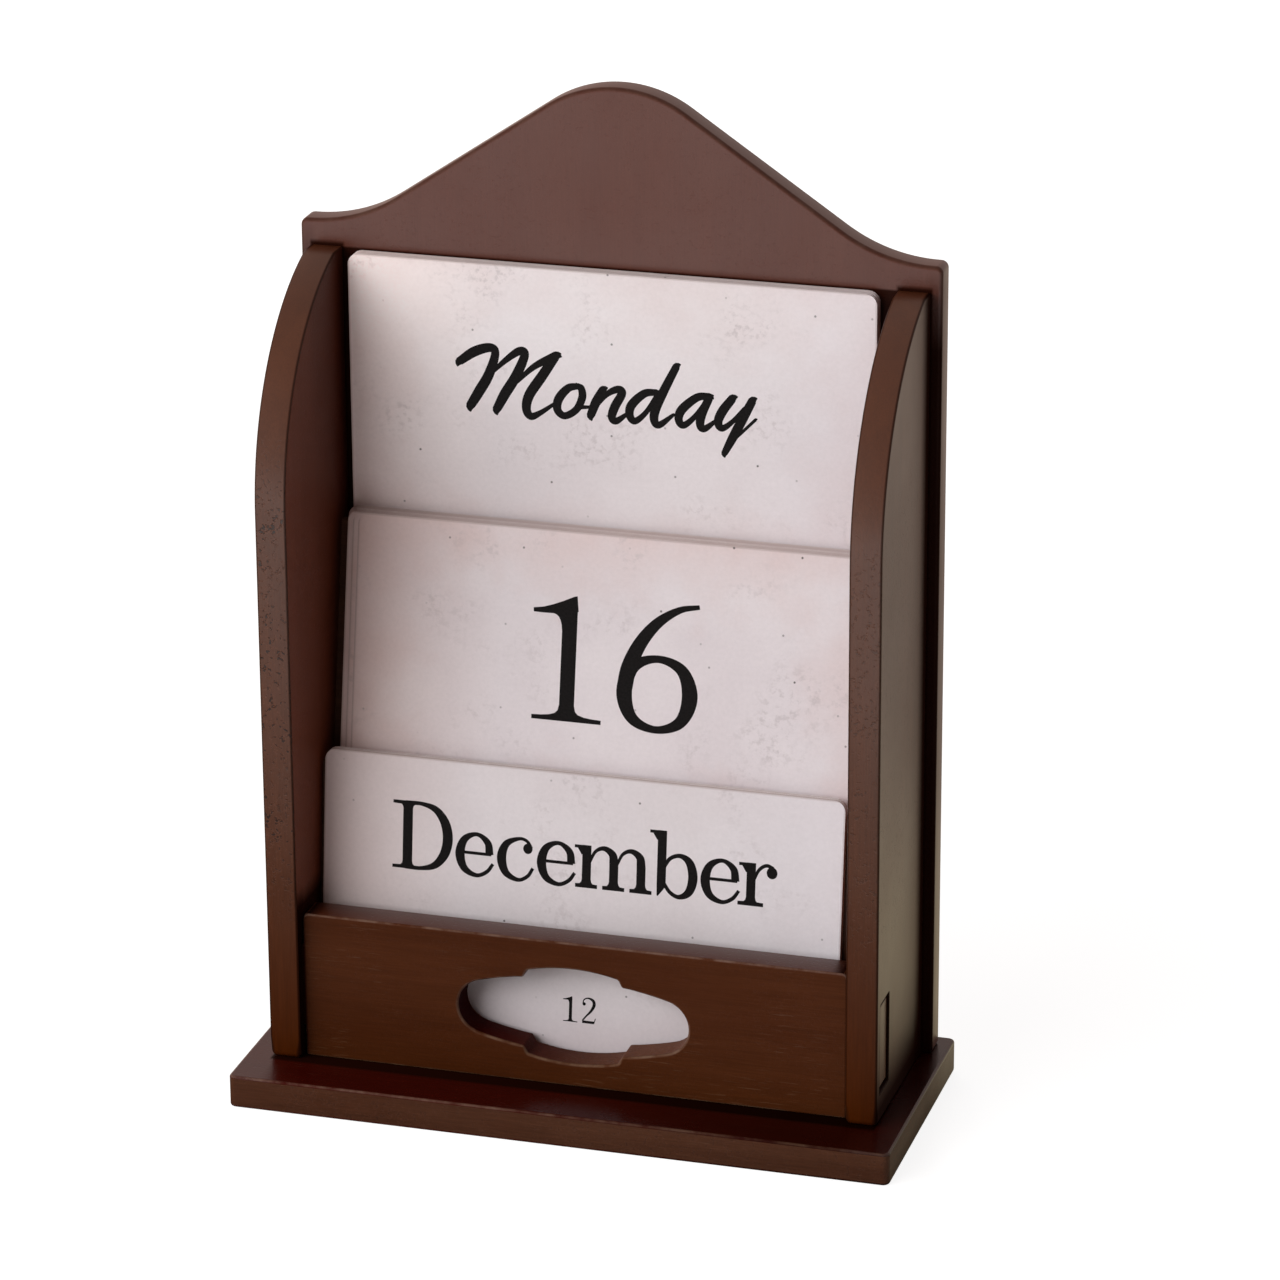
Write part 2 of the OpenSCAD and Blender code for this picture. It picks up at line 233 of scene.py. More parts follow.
def stained_wood(name, along, deep, pale, figure, streaks, pits, wear_and_highlight, specular, roughness,
                 pitted_from=-1.0, pitted_to=1.0):
    """Stained and waxed wood with its grain along one axis: 0, 1 or 2.

    Its pits keep to one band along that axis, given in metres.
    """
    open_grain = (0.19, 0.105, 0.068, 1)
    bare_and_highlit_edge = (0.21, 0.125, 0.09, 1)
    band_fade = 0.03
    material, tree, surface = shader(name)
    place = tree.nodes.new("ShaderNodeTexCoord").outputs["Object"]

    def grain(length, width, detail, distortion=0.0):
        scale = [1 / width] * 3
        scale[along] = 1 / length
        stretched = add(tree, "ShaderNodeMapping", {"Vector": place, "Scale": scale})
        return add(tree, "ShaderNodeTexNoise", {"Vector": stretched, "Scale": 1.0, "Detail": detail,
                                                "Roughness": 0.55, "Distortion": distortion})

    def noise(scale, detail):
        return add(tree, "ShaderNodeTexNoise", {"Vector": place, "Scale": scale, "Detail": detail,
                                                "Roughness": 0.6})

    def cloud(scale, detail, low, high):
        return steps(tree, noise(scale, detail), low, high)

    def product(first, second):
        return add(tree, "ShaderNodeMath", {0: first, 1: second}, operation="MULTIPLY")

    tone = steps(tree, grain(0.12, 0.018, 3, 0.7), 0.3, 0.7)
    rings = steps(tree, grain(0.16, 0.0034, 3, 0.4), 0.4, 0.7)
    fibres = grain(0.010, 0.00035, 2)
    dashes = product(steps(tree, grain(0.0065, 0.00030, 1), 0.64, 0.72), cloud(30.0, 2, 0.5, 0.66))
    length = add(tree, "ShaderNodeSeparateXYZ", {"Vector": place}).node.outputs[along]
    band_start = steps(tree, length, pitted_from, pitted_from + band_fade)
    band_end = steps(tree, length, pitted_to, pitted_to - band_fade)
    band = product(band_start, band_end)
    speckle = noise(980.0, 2.0)
    where = product(cloud(60.0, 2, 0.32, 0.5), band)
    pores = product(steps(tree, speckle, 0.585, 0.64), where)
    rims = product(steps(tree, speckle, 0.53, 0.57), where)
    patches = cloud(24.0, 3, 0.38, 0.66)
    colour = blend(tree, tone, (*deep, 1), (*pale, 1))
    colour = blend(tree, product(rings, figure), colour, (*[value * 0.6 for value in deep], 1))
    shade = steps(tree, fibres, 0.3, 0.7, 1 - 0.5 * figure, 1 + 0.5 * figure)
    shade = add(tree, "ShaderNodeCombineXYZ", {0: shade, 1: shade, 2: shade})
    colour = blend(tree, 1.0, colour, shade, "MULTIPLY")
    colour = blend(tree, product(dashes, streaks), colour, open_grain)
    pitted = product(pores, pits)
    colour = blend(tree, product(rims, pits * 0.35), colour, (*[value * 2.2 + 0.02 for value in deep], 1))
    colour = blend(tree, pitted, colour, (*[value * 0.25 for value in deep], 1))
    # Paler bare wood along the eased edges where the stain has gone with use, which also serves as a painted
    # highlight there
    edge = add(tree, "ShaderNodeAttribute", {}, attribute_name="edge_rounding").node.outputs["Fac"]
    rubbed_and_highlit = product(product(edge, cloud(190.0, 4, 0.34, 0.64)), wear_and_highlight)
    colour = blend(tree, rubbed_and_highlit, colour, bare_and_highlit_edge)
    tree.links.new(colour, surface.inputs["Base Color"])
    dull = steps(tree, patches, 0, 1, roughness - 0.02, roughness + 0.03)
    tree.links.new(dull, surface.inputs["Roughness"])
    raised = product(fibres, figure)
    height = add(tree, "ShaderNodeMath", {0: pitted, 1: -3.0, 2: raised}, operation="MULTIPLY_ADD")
    relief = add(tree, "ShaderNodeBump", {"Height": height, "Strength": 0.35, "Distance": 0.00015})
    tree.links.new(relief, surface.inputs["Normal"])
    surface.inputs["Specular IOR Level"].default_value = specular
    return material


def stain_so_far(wood):
    """A wood's node tree, and the colour that its shader has so far."""
    tree = wood.node_tree
    return tree, tree.nodes["Principled BSDF"].inputs["Base Color"].links[0].from_socket


def restain(wood, colour, shine):
    """Gives a wood a new colour, and its shine so far times a factor."""
    tree = wood.node_tree
    surface = tree.nodes["Principled BSDF"]
    tree.links.new(colour, surface.inputs["Base Color"])
    gloss = surface.inputs["Specular IOR Level"]
    kept = gloss.links[0].from_socket if gloss.is_linked else gloss.default_value
    tree.links.new(add(tree, "ShaderNodeMath", {0: shine, 1: kept}, operation="MULTIPLY"), gloss)


def coordinates(tree):
    """A point's places along the three axes of its object, in metres."""
    place = tree.nodes.new("ShaderNodeTexCoord").outputs["Object"]
    return add(tree, "ShaderNodeSeparateXYZ", {"Vector": place}).node.outputs


def darken_corner(wood, *limits):
    """Painted shade in corners and gaps between parts; along each limit's axis it comes in between two places
    in mm.
    """
    corner_shade = (0.014, 0.0032, 0.0016, 1)
    tree, stain = stain_so_far(wood)
    sides = coordinates(tree)
    amount = 0.94
    for axis, start, end in limits:
        value = sides[axis]
        if axis == "X":
            value = add(tree, "ShaderNodeMath", {0: value}, operation="ABSOLUTE")
        near = steps(tree, value, start * 0.001, end * 0.001)
        amount = add(tree, "ShaderNodeMath", {0: near, 1: amount}, operation="MULTIPLY")
    restain(wood, blend(tree, amount, stain, corner_shade), steps(tree, amount, 0, 1, 1.0, 0.0))


def shade_along(wood, axis, start, end, first, last, shine=1.0):
    """A tint, mostly painted light and shade, that goes from one colour to another, and to its full shine,
    between two places in mm.
    """
    tree, stain = stain_so_far(wood)
    reach = steps(tree, coordinates(tree)[axis], start * 0.001, end * 0.001)
    tint = blend(tree, reach, (*first, 1), (*last, 1))
    restain(wood, blend(tree, 1.0, stain, tint, "MULTIPLY"), steps(tree, reach, 0, 1, shine, 1.0))


def middle_of(node):
    """The middle of a CAD piece's box, in millimetres."""
    low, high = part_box(node)
    return (low + high) * 500


base_low, base_high = (corner * 1000 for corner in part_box("base_board"))
base_corner = 1.9
base_ease = 0.7
base_outline = softened(rectangle(base_low.x, base_low.y, base_high.x, base_high.y, base_corner, base_ease))
stand_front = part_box("left_side_panel")[0].y * 1000
stand_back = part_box("left_side_panel")[1].y * 1000
panel_x = middle_of("right_side_panel").x
middle_screw_x = 52
front_screw_y = stand_front + 24
rear_screw_y = stand_back - 8
base_screw_places = []
for side in (-1, 1):
    for x, y in ((panel_x, front_screw_y), (panel_x, rear_screw_y),
                 (middle_screw_x, middle_of("front_panel").y), (middle_screw_x, middle_of("back_board").y)):
        base_screw_places.append((side * x, y))
screw_pocket = ((3.1, 0), (3.1, 0.45), (1.6, 2.0), (1.6, 4.0))
base_pockets = [(x, y, screw_pocket) for x, y in base_screw_places]
base_mesh = eased_board(base_high.z - base_low.z, lambda u, v, w: (u, v, base_low.z + w),
                        base_outline, pockets=base_pockets, rim=1)
base_wood = stained_wood("base_wood", 0, (0.042, 0.0024, 0.0009), (0.054, 0.0042, 0.0014),
                         figure=0.16, streaks=0.15, pits=0.08, wear_and_highlight=0.7, specular=0.09, roughness=0.26)
# Painted shade in front of the stand and over the right half, and more shine at the two ends
darken_corner(base_wood, ("Y", stand_front - 2.2, stand_front - 0.8), ("X", 83.2, 82.6),
              ("Z", base_high.z - 1.5, base_high.z - 0.5))
shade_along(base_wood, "X", -30.0, 60.0, (1, 1, 1), (0.45, 0.4, 0.32))
shade_along(base_wood, "X", -82.0, -76.0, (1, 1, 1), (1, 1, 1), shine=6.0)
shade_along(base_wood, "X", 82.0, 76.0, (1, 1, 1), (1, 1, 1), shine=4.9)
# The rim is a paler, greyer copy of the top's stain: painted sheen on the rim, and painted shade on the
# darker top
base_rim_wood = stained_wood("base_rim_wood", 0, (0.067, 0.0225, 0.0105), (0.086, 0.0330, 0.0165),
                             figure=0.3, streaks=0.2, pits=0.3, wear_and_highlight=0.5, specular=0.25, roughness=0.36)
piece("base_plank", base_mesh, [base_wood, base_rim_wood], "base_board", "stand")


# Side panels
# Two upright boards with the grain running up, their front edges bandsawn into a sweep
# that draws back towards the top. Each has a mortise cut through it for the front panel.
def arc(centre_x, centre_y, radius, start, end, count, ease):
    """Corners along an arc, for softened; angles in degrees."""
    turns = np.radians(np.linspace(start, end, count))
    corners = []
    for turn in turns:
        corners.append((centre_x + radius * math.cos(turn), centre_y + radius * math.sin(turn), 0, ease))
    return corners


def flipped(corners):
    """The same corners on the left, in the order that carries an outline on."""
    return [(-x, y, radius, ease) for x, y, radius, ease in corners[::-1]]


def darken_arris(wood, amount):
    """A dark line of painted shade along the eased edges."""
    arris_shade = (0.014, 0.0045, 0.0022, 1)
    tree, stain = stain_so_far(wood)
    edge = add(tree, "ShaderNodeAttribute", {}, attribute_name="edge_rounding").node.outputs["Fac"]
    line = steps(tree, edge, 0.0, 1.0, 0.0, amount)
    restain(wood, blend(tree, line, stain, arris_shade), steps(tree, edge, 0, 1, 1.0, 1 - amount))


panel_low, panel_high = (corner * 1000 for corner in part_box("left_side_panel"))
curve_z = 161.989
curve_radius = 61.22
curve_centre = panel_low.y + curve_radius
curve_end = 180 - math.degrees(math.asin((panel_high.z - curve_z) / curve_radius))
foot_radius_and_ease = (1.8, 1.45)
rear_radius_and_ease = (0.7, 0.35)
sweep_ease = 0.65
panel_corners = [(panel_low.y, panel_low.z, *foot_radius_and_ease),
                 (panel_high.y, panel_low.z, *rear_radius_and_ease),
                 (panel_high.y, panel_high.z, *rear_radius_and_ease)]
panel_corners += arc(curve_centre, curve_z, curve_radius, curve_end, 180, 40, sweep_ease)
panel_corners.append((panel_low.y, panel_low.z + 6, 0, sweep_ease))
# The mortise is drawn a little wider than the tenon, so that a dark line shows round it
mortise_low = (-19.85, 17.25)
mortise_high = (-10.4, 42.2)
mortise_edge = 0.45
mortise = softened(rectangle(*mortise_low, *mortise_high, 0.5, 0.3))
panel_outer = -panel_low.x
outer_rim = ("X", panel_outer - 1.1, panel_outer - 0.5)
outer_face = ("X", panel_outer - 0.8, panel_outer - 0.2)
inner_panel_wood = stained_wood("inner_panel_wood", 2, (0.098, 0.0225, 0.0088), (0.118, 0.0290, 0.0122),
                                figure=0.12, streaks=0.0, pits=0.2, wear_and_highlight=0.0, specular=0.1, roughness=0.5)
# The inner faces have painted light at the front and painted shade towards the back, and beside the front
# panel and the month cards
shade_along(inner_panel_wood, "Y", panel_low.y + 4, panel_high.y - 6, (1.35, 1.45, 1.45), (0.55, 0.5, 0.5))
darken_corner(inner_panel_wood, ("Z", 58.0, 50.0), ("Y", mortise_low[0] + 3.0, mortise_low[0] + 1.0))
darken_corner(inner_panel_wood, ("Z", 57.0, 52.0), ("Y", 8.0, 0.0))
sawn_wood = stained_wood("sawn_wood", 0, (0.046, 0.0115, 0.0050), (0.062, 0.0170, 0.0078),
                         figure=0.3, streaks=0.0, pits=0.4, wear_and_highlight=0.2, specular=0.12, roughness=0.6)
# Painted light and shade on the window's walls: dark and red in shade on the left, and paler and greyer on
# the right as a painted sheen
shade_along(sawn_wood, "X", -26.0, 20.0, (0.48, 0.08, 0.04), (2.3, 3.2, 3.7), shine=0.2)
shade_along(sawn_wood, "X", -20.0, 0.0, (1, 0.3, 0.15), (1, 1, 1))
# Near-black wood for the mortise walls: painted shade, so that the gap round the tenon shows dark
gap_shade_wood = stained_wood("gap_shade_wood", 2, (0.012, 0.0035, 0.0018), (0.016, 0.0050, 0.0026),
                        figure=0.2, streaks=0.0, pits=0.2, wear_and_highlight=0.0, specular=0.05, roughness=0.6)
for node, name, pits, gloss in (("left_side_panel", "left_upright", 1.0, 0.6),
                                ("right_side_panel", "right_upright", 0.45, 0.63)):
    panel_wood = stained_wood(name + "_wood", 2, (0.064, 0.0176, 0.0054), (0.082, 0.0245, 0.0088),
                              figure=0.24, streaks=0.0, pits=pits, wear_and_highlight=0.0, specular=gloss, roughness=0.4,
                              pitted_from=0.045, pitted_to=0.19)
    # Painted shade: darker and redder at the foot, dark low down on the outer face and along the back board,
    # and a dark line along the eased edges
    shade_along(panel_wood, "Z", 12.0, 75.0, (0.80, 0.56, 0.10), (1, 1, 1), shine=0.3)
    darken_corner(panel_wood, ("Y", panel_high.y - 9.0, panel_high.y - 3.0), outer_rim)
    darken_corner(panel_wood, ("Z", 26.0, 13.0), outer_face)
    darken_corner(panel_wood, ("Z", 41.0, 17.0), ("Y", panel_high.y - 30.0, panel_high.y - 7.0), outer_face)
    darken_arris(panel_wood, 0.75)
    side_low, side_high = (corner * 1000 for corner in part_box(node))
    side_mesh = eased_board(side_high.x - side_low.x, lambda u, v, w: (side_low.x + w, u, v),
                            softened(panel_corners), [mortise])
    inner_side = 1 if side_low.x < 0 else -1
    for face in side_mesh.polygons:
        in_depth = mortise_low[0] - mortise_edge < face.center.y * 1000 < mortise_high[0] + mortise_edge
        in_height = mortise_low[1] - mortise_edge < face.center.z * 1000 < mortise_high[1] + mortise_edge
        if face.normal.x * inner_side > 0.95:
            face.material_index = 2
        elif in_depth and in_height:
            face.material_index = 3
    side_woods = [panel_wood, sawn_wood, inner_panel_wood, gap_shade_wood]
    piece(name, side_mesh, side_woods, node, "stand")


# Front panel
# A low board with the grain running across, tenoned through both side panels. Its window is
# an oval cut with a scroll saw, with a taller middle, and all its edges are sanded round.
front_low, front_high = (corner * 1000 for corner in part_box("front_panel"))
body_x = 74.3
tenon_low = 17.8
tenon_high = 41.2
front_corners = []
for side in (1, -1):
    half = [(side * body_x, front_low.z, 0.9, 0.6), (side * body_x, tenon_low, 0, 0.35),
            (side * front_high.x, tenon_low, 0.7, 0.35), (side * front_high.x, tenon_high, 0.7, 0.35),
            (side * body_x, tenon_high, 0, 0.35), (side * body_x, front_high.z, 1.6, 0.6)]
    front_corners += half[::side]
window_drop = 0.6
window_z = (front_low.z + front_high.z) / 2 - window_drop
window_ease = 0.7
lobe_radius = 100
lobe_centre = -89.2
middle_radius = 50
middle_centre = -36.5
end_radius = 7.66
end_x = 23.84
touch_x = 25.82
step_x = 13.5
middle_x = 12.4
notch_radius = 0.95
notch_ease = 0.55
lip_radius = 1.2
touch = math.degrees(math.asin(touch_x / lobe_radius))
step = math.degrees(math.asin(step_x / lobe_radius))
middle = math.degrees(math.asin(middle_x / middle_radius))
right_arc = arc(0, lobe_centre, lobe_radius, 90 - touch, 90 - step, 7, window_ease)
middle_arc = arc(0, middle_centre, middle_radius, 90 - middle, 90 + middle, 10, window_ease)
right_arc[-1] = (*right_arc[-1][:2], notch_radius, notch_ease)
middle_arc[0] = (*middle_arc[0][:2], lip_radius, window_ease)
middle_arc[-1] = (*middle_arc[-1][:2], lip_radius, window_ease)
left_arc = flipped(right_arc)
right_end = arc(end_x, 0, end_radius, 0, 90 - touch, 10, window_ease)
left_end = flipped(right_end)
upper_half = right_end[:-1] + right_arc + middle_arc + left_arc[:-1] + left_end[:-1]
lower_half = [(-x, -z, radius, ease) for x, z, radius, ease in upper_half]
window_corners = [(x, window_z + z, radius, ease) for x, z, radius, ease in upper_half + lower_half]
front_wood = stained_wood("front_wood", 0, (0.060, 0.0150, 0.0045), (0.076, 0.0208, 0.0068),
                          figure=0.2, streaks=0.3, pits=0.15, wear_and_highlight=0.7, specular=0.12, roughness=0.34)
# Painted shade darkens the foot and the ends where they meet the side panels; paler on the right
shade_along(front_wood, "Z", 11.0, 34.0, (0.9, 0.84, 0.66), (1, 1, 1))
shade_along(front_wood, "X", -20.0, 65.0, (1.0, 1.04, 1.06), (1.12, 1.22, 1.36))
darken_corner(front_wood, ("X", 73.5, 74.1))
front_ledge_wood = stained_wood("front_ledge_wood", 0, (0.066, 0.0150, 0.0056), (0.083, 0.0210, 0.0084),
                                figure=0.2, streaks=0.3, pits=0.15, wear_and_highlight=0.8, specular=0.38, roughness=0.3)
# Painted shade at both ends of the top, beside the side panels
darken_corner(front_ledge_wood, ("X", 69.5, 72.5))
tenon_wood = stained_wood("tenon_wood", 1, (0.070, 0.0200, 0.0064), (0.090, 0.0275, 0.0100),
                          figure=0.2, streaks=0.0, pits=0.0, wear_and_highlight=0.0, specular=0.6, roughness=0.4)
front_mesh = eased_board(front_high.y - front_low.y, lambda u, v, w: (u, front_low.y + w, v),
                         softened(front_corners), [softened(window_corners)])
for face in front_mesh.polygons:
    if face.normal.z > 0.9 and face.center.z > 0.999 * front_high.z / 1000:
        face.material_index = 2
    elif abs(face.normal.x) > 0.9 and abs(face.center.x) > 0.999 * front_high.x / 1000:
        face.material_index = 3
front_woods = [front_wood, sawn_wood, front_ledge_wood, tenon_wood]
piece("front_plank", front_mesh, front_woods, "front_panel", "stand")


# Card rests and shelves
# Two thin leaning boards that the month and date cards lie against, and two narrow shelves
# that the upper decks stand on. They are plain planed strips.
rest_wood = stained_wood("rest_wood", 0, (0.050, 0.018, 0.009), (0.080, 0.032, 0.017),
                         figure=0.3, streaks=0.3, pits=0.2, wear_and_highlight=0.3, specular=0.2, roughness=0.5)
rest_thickness = 2
month_lean = 6.8
date_lean = 10
strips = []
for node, name, lean in (("month_rest", "month_backing", month_lean),
                         ("date_rest", "date_backing", date_lean)):
    low, high = (corner * 1000 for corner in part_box(node))
    level = rest_thickness / math.cos(math.radians(lean))
    strips.append((node, name, low, high, [(low.y, low.z), (low.y + level, low.z),
                                           (high.y, high.z), (high.y - level, high.z)]))
for node, name, lean in (("date_shelf", "date_ledge", month_lean),
                         ("weekday_shelf", "weekday_ledge", date_lean)):
    low, high = (corner * 1000 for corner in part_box(node))
    slant = (high.z - low.z) * math.tan(math.radians(lean))
    strips.append((node, name, low, high, [(low.y, low.z), (high.y, low.z), (high.y, high.z),
                                           (low.y + slant, high.z)]))
for node, name, low, high, profile in strips:
    strip_mesh = eased_board(high.x - low.x, lambda u, v, w: (low.x + w, u, v),
                             softened([(y, z, 0.45, 0.2) for y, z in profile], count=4))
    piece(name, strip_mesh, [rest_wood], node, "stand")


# Back board
# A tall board with the grain running up, its top sawn to a bell between two flat shoulders.
# It stands on the base behind the side panels and is screwed to their rear edges.
back_low, back_high = (corner * 1000 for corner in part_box("back_board"))
shoulder_z = 227.189
crest_radius = 33
foot_radius = 43.6
foot_x = 83.9
crest_rise = 40.8
top_ease = 1.0
radii = crest_radius + foot_radius
centre_line = math.degrees(math.atan2(radii - crest_rise, foot_x))
tangent = math.degrees(math.acos(radii / math.hypot(foot_x, radii - crest_rise)))
flank = 90 - centre_line - tangent
right_foot = arc(foot_x, shoulder_z + foot_radius, foot_radius, 270, 270 - flank, 16, top_ease)
crest = arc(0, back_high.z - crest_radius, crest_radius, 90 - flank, 90 + flank, 32, top_ease)
left_foot = flipped(right_foot)
back_corners = [(back_low.x, back_low.z, 1.0, 0.7), (back_high.x, back_low.z, 1.0, 0.7),
                (back_high.x, shoulder_z, 1.9, top_ease)]
back_corners += right_foot + crest + left_foot + [(back_low.x, shoulder_z, 1.9, top_ease)]
date_shelf_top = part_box("date_shelf")[1].z * 1000
back_screw_heights = (base_high.z + 26, date_shelf_top + 10, panel_high.z - 30)
back_screw_places = [(side * panel_x, z) for side in (-1, 1) for z in back_screw_heights]
back_pockets = [(x, z, screw_pocket) for x, z in back_screw_places]
back_wood = stained_wood("back_wood", 2, (0.0870, 0.0241, 0.0142), (0.0962, 0.0283, 0.0170),
                         figure=0.08, streaks=0.04, pits=0.15, wear_and_highlight=0.3, specular=0.46, roughness=0.37)
back_face = ("Y", back_low.y + 1.2, back_low.y + 0.5)
card_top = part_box("weekday_card_4")[1].z * 1000
# Painted shade beside the side panels, round their tops and behind the cards, and a dark line of painted
# shade along the eased edges
darken_corner(back_wood, ("X", 81.5, 83.0), ("Z", 227.0, 205.0), back_face)
darken_corner(back_wood, ("X", 73.8, 74.6), ("X", 83.8, 83.2),
              ("Z", panel_high.z + 1.5, panel_high.z + 0.4), back_face)
darken_corner(back_wood, ("X", 80.0, 78.0), ("Z", card_top + 0.8, card_top + 0.2), back_face)
darken_arris(back_wood, 0.45)
back_rim_wood = stained_wood("back_rim_wood", 2, (0.0870, 0.0250, 0.0146), (0.0962, 0.0300, 0.0178),
                             figure=0.08, streaks=0.04, pits=0.0, wear_and_highlight=0.0, specular=0.92, roughness=0.37)
# Painted highlight: the rim paler from the shoulders up, with half its shine lower down
shade_along(back_rim_wood, "Z", 221.0, 227.0, (1, 1, 1), (1.1, 1.12, 1.1), shine=0.5)
back_mesh = eased_board(back_high.y - back_low.y, lambda u, v, w: (u, back_high.y - w, v),
                        softened(back_corners), pockets=back_pockets, rim=1)
piece("back_plank", back_mesh, [back_wood, back_rim_wood], "back_board", "stand")


# Wood screws
# Countersunk steel screws with a cross recess, eight up through the base and six through the
# back board. The thread is cut in a spiral below a plain neck, and each stops at its own turn.
screw_metal, metal_tree, metal_surface = shader("screw_steel")
metal_place = metal_tree.nodes.new("ShaderNodeTexCoord").outputs["Object"]
metal_noise = add(metal_tree, "ShaderNodeTexNoise", {"Vector": metal_place, "Scale": 900.0, "Detail": 4.0})
metal_tone = steps(metal_tree, metal_noise, 0.4, 0.65)
metal_colour = blend(metal_tree, metal_tone, (0.36, 0.33, 0.29, 1), (0.56, 0.53, 0.48, 1))
metal_tree.links.new(metal_colour, metal_surface.inputs["Base Color"])
metal_tree.links.new(steps(metal_tree, metal_noise, 0.35, 0.7, 0.5, 0.28), metal_surface.inputs["Roughness"])
metal_surface.inputs["Metallic"].default_value = 1.0

screw_tree = bpy.data.node_groups.new("wood_screws", "GeometryNodeTree")
screw_tree.interface.new_socket("Places", in_out="INPUT", socket_type="NodeSocketGeometry")
screw_sizes = {"Head Radius": 0.003, "Head Height": 0.0015, "Neck Radius": 0.0015, "Neck Length": 0.0055,
               "Root Radius": 0.0011, "Thread Length": 0.009, "Tip Length": 0.004, "Thread Pitch": 0.0013,
               "Thread Width": 0.00028, "Recess Width": 0.0009, "Recess Depth": 0.0011}
for size_name in screw_sizes:
    screw_tree.interface.new_socket(size_name, in_out="INPUT", socket_type="NodeSocketFloat")
screw_tree.interface.new_socket("Facing", in_out="INPUT", socket_type="NodeSocketVector")
screw_tree.interface.new_socket("Metal", in_out="INPUT", socket_type="NodeSocketMaterial")
screw_tree.interface.new_socket("Screws", in_out="OUTPUT", socket_type="NodeSocketGeometry")
given = screw_tree.nodes.new("NodeGroupInput").outputs


def total(*terms):
    """The sum of several sockets."""
    amount = terms[0]
    for term in terms[1:]:
        amount = add(screw_tree, "ShaderNodeMath", {0: amount, 1: term}, operation="ADD")
    return amount


def turned(low_radius, high_radius, length, start):
    """An open tapered tube that starts at a height."""
    tube = add(screw_tree, "GeometryNodeMeshCone", {"Vertices": 24, "Radius Bottom": low_radius,
               "Radius Top": high_radius, "Depth": length}, fill_type="NONE")
    rise = add(screw_tree, "ShaderNodeCombineXYZ", {"Z": start})
    return add(screw_tree, "GeometryNodeTransform", {"Geometry": tube, "Translation": rise})


neck_start = total(given["Head Height"])
thread_start = total(given["Head Height"], given["Neck Length"])
tip_start = total(thread_start, given["Thread Length"])
head_face = add(screw_tree, "GeometryNodeMeshCircle", {"Vertices": 24, "Radius": given["Head Radius"]},
                fill_type="NGON")
head_face = add(screw_tree, "GeometryNodeFlipFaces", {"Mesh": head_face})
shells = [head_face, turned(given["Head Radius"], given["Neck Radius"], given["Head Height"], 0.0),
          turned(given["Neck Radius"], given["Neck Radius"], given["Neck Length"], neck_start),
          turned(given["Neck Radius"], given["Root Radius"], given["Thread Length"], thread_start),
          turned(given["Root Radius"], 0.0, given["Tip Length"], tip_start)]
joined = screw_tree.nodes.new("GeometryNodeJoinGeometry")
for shell in shells[::-1]:
    screw_tree.links.new(shell, joined.inputs[0])
body = add(screw_tree, "GeometryNodeMergeByDistance", {"Geometry": joined.outputs[0], "Distance": 0.000005})
recess_deep = add(screw_tree, "ShaderNodeMath", {0: given["Recess Depth"], 1: 2.0}, operation="MULTIPLY")
recess_long = add(screw_tree, "ShaderNodeMath", {0: given["Neck Radius"], 1: 2.0}, operation="MULTIPLY")
slots = []
for sizes in ({"X": recess_long, "Y": given["Recess Width"]}, {"X": given["Recess Width"], "Y": recess_long}):
    slot_size = add(screw_tree, "ShaderNodeCombineXYZ", {**sizes, "Z": recess_deep})
    slots.append(add(screw_tree, "GeometryNodeMeshCube", {"Size": slot_size}))
cut = screw_tree.nodes.new("GeometryNodeMeshBoolean")
cut.operation = "DIFFERENCE"
cut.solver = "EXACT"
screw_tree.links.new(body, cut.inputs["Mesh 1"])
for slot_block in slots:
    screw_tree.links.new(slot_block, cut.inputs["Mesh 2"])
turns_made = add(screw_tree, "ShaderNodeMath", {0: given["Thread Length"], 1: given["Thread Pitch"]},
                 operation="DIVIDE")
spiral = add(screw_tree, "GeometryNodeCurveSpiral", {"Resolution": 14, "Rotations": turns_made,
             "Start Radius": given["Neck Radius"], "End Radius": given["Root Radius"],
             "Height": given["Thread Length"]})
ridge = add(screw_tree, "GeometryNodeCurvePrimitiveCircle",
            {"Resolution": 4, "Radius": given["Thread Width"]})
thread = add(screw_tree, "GeometryNodeCurveToMesh",
             {"Curve": spiral, "Profile Curve": ridge, "Fill Caps": True})
thread_rise = add(screw_tree, "ShaderNodeCombineXYZ", {"Z": thread_start})
thread = add(screw_tree, "GeometryNodeTransform", {"Geometry": thread, "Translation": thread_rise})
screw = screw_tree.nodes.new("GeometryNodeJoinGeometry")
screw_tree.links.new(thread, screw.inputs[0])
screw_tree.links.new(cut.outputs[0], screw.inputs[0])
facing = add(screw_tree, "FunctionNodeEulerToRotation", {0: given["Facing"]})
set_in = add(screw_tree, "GeometryNodeInstanceOnPoints",
             {"Points": given["Places"], "Instance": screw.outputs[0], "Rotation": facing})
stop = screw_tree.nodes.new("FunctionNodeRandomValue")
stop.data_type = "FLOAT"
largest_turn = 1.5
stop.inputs[3].default_value = largest_turn
stop.inputs["Seed"].default_value = 4
stop_turn = add(screw_tree, "ShaderNodeCombineXYZ", {"Z": stop.outputs[1]})
set_in = add(screw_tree, "GeometryNodeRotateInstances", {"Instances": set_in, "Rotation": stop_turn})
solid = add(screw_tree, "GeometryNodeRealizeInstances", {"Geometry": set_in})
solid = add(screw_tree, "GeometryNodeSetMaterial", {"Geometry": solid, "Material": given["Metal"]})
screw_result = screw_tree.nodes.new("NodeGroupOutput")
screw_tree.links.new(solid, screw_result.inputs["Screws"])

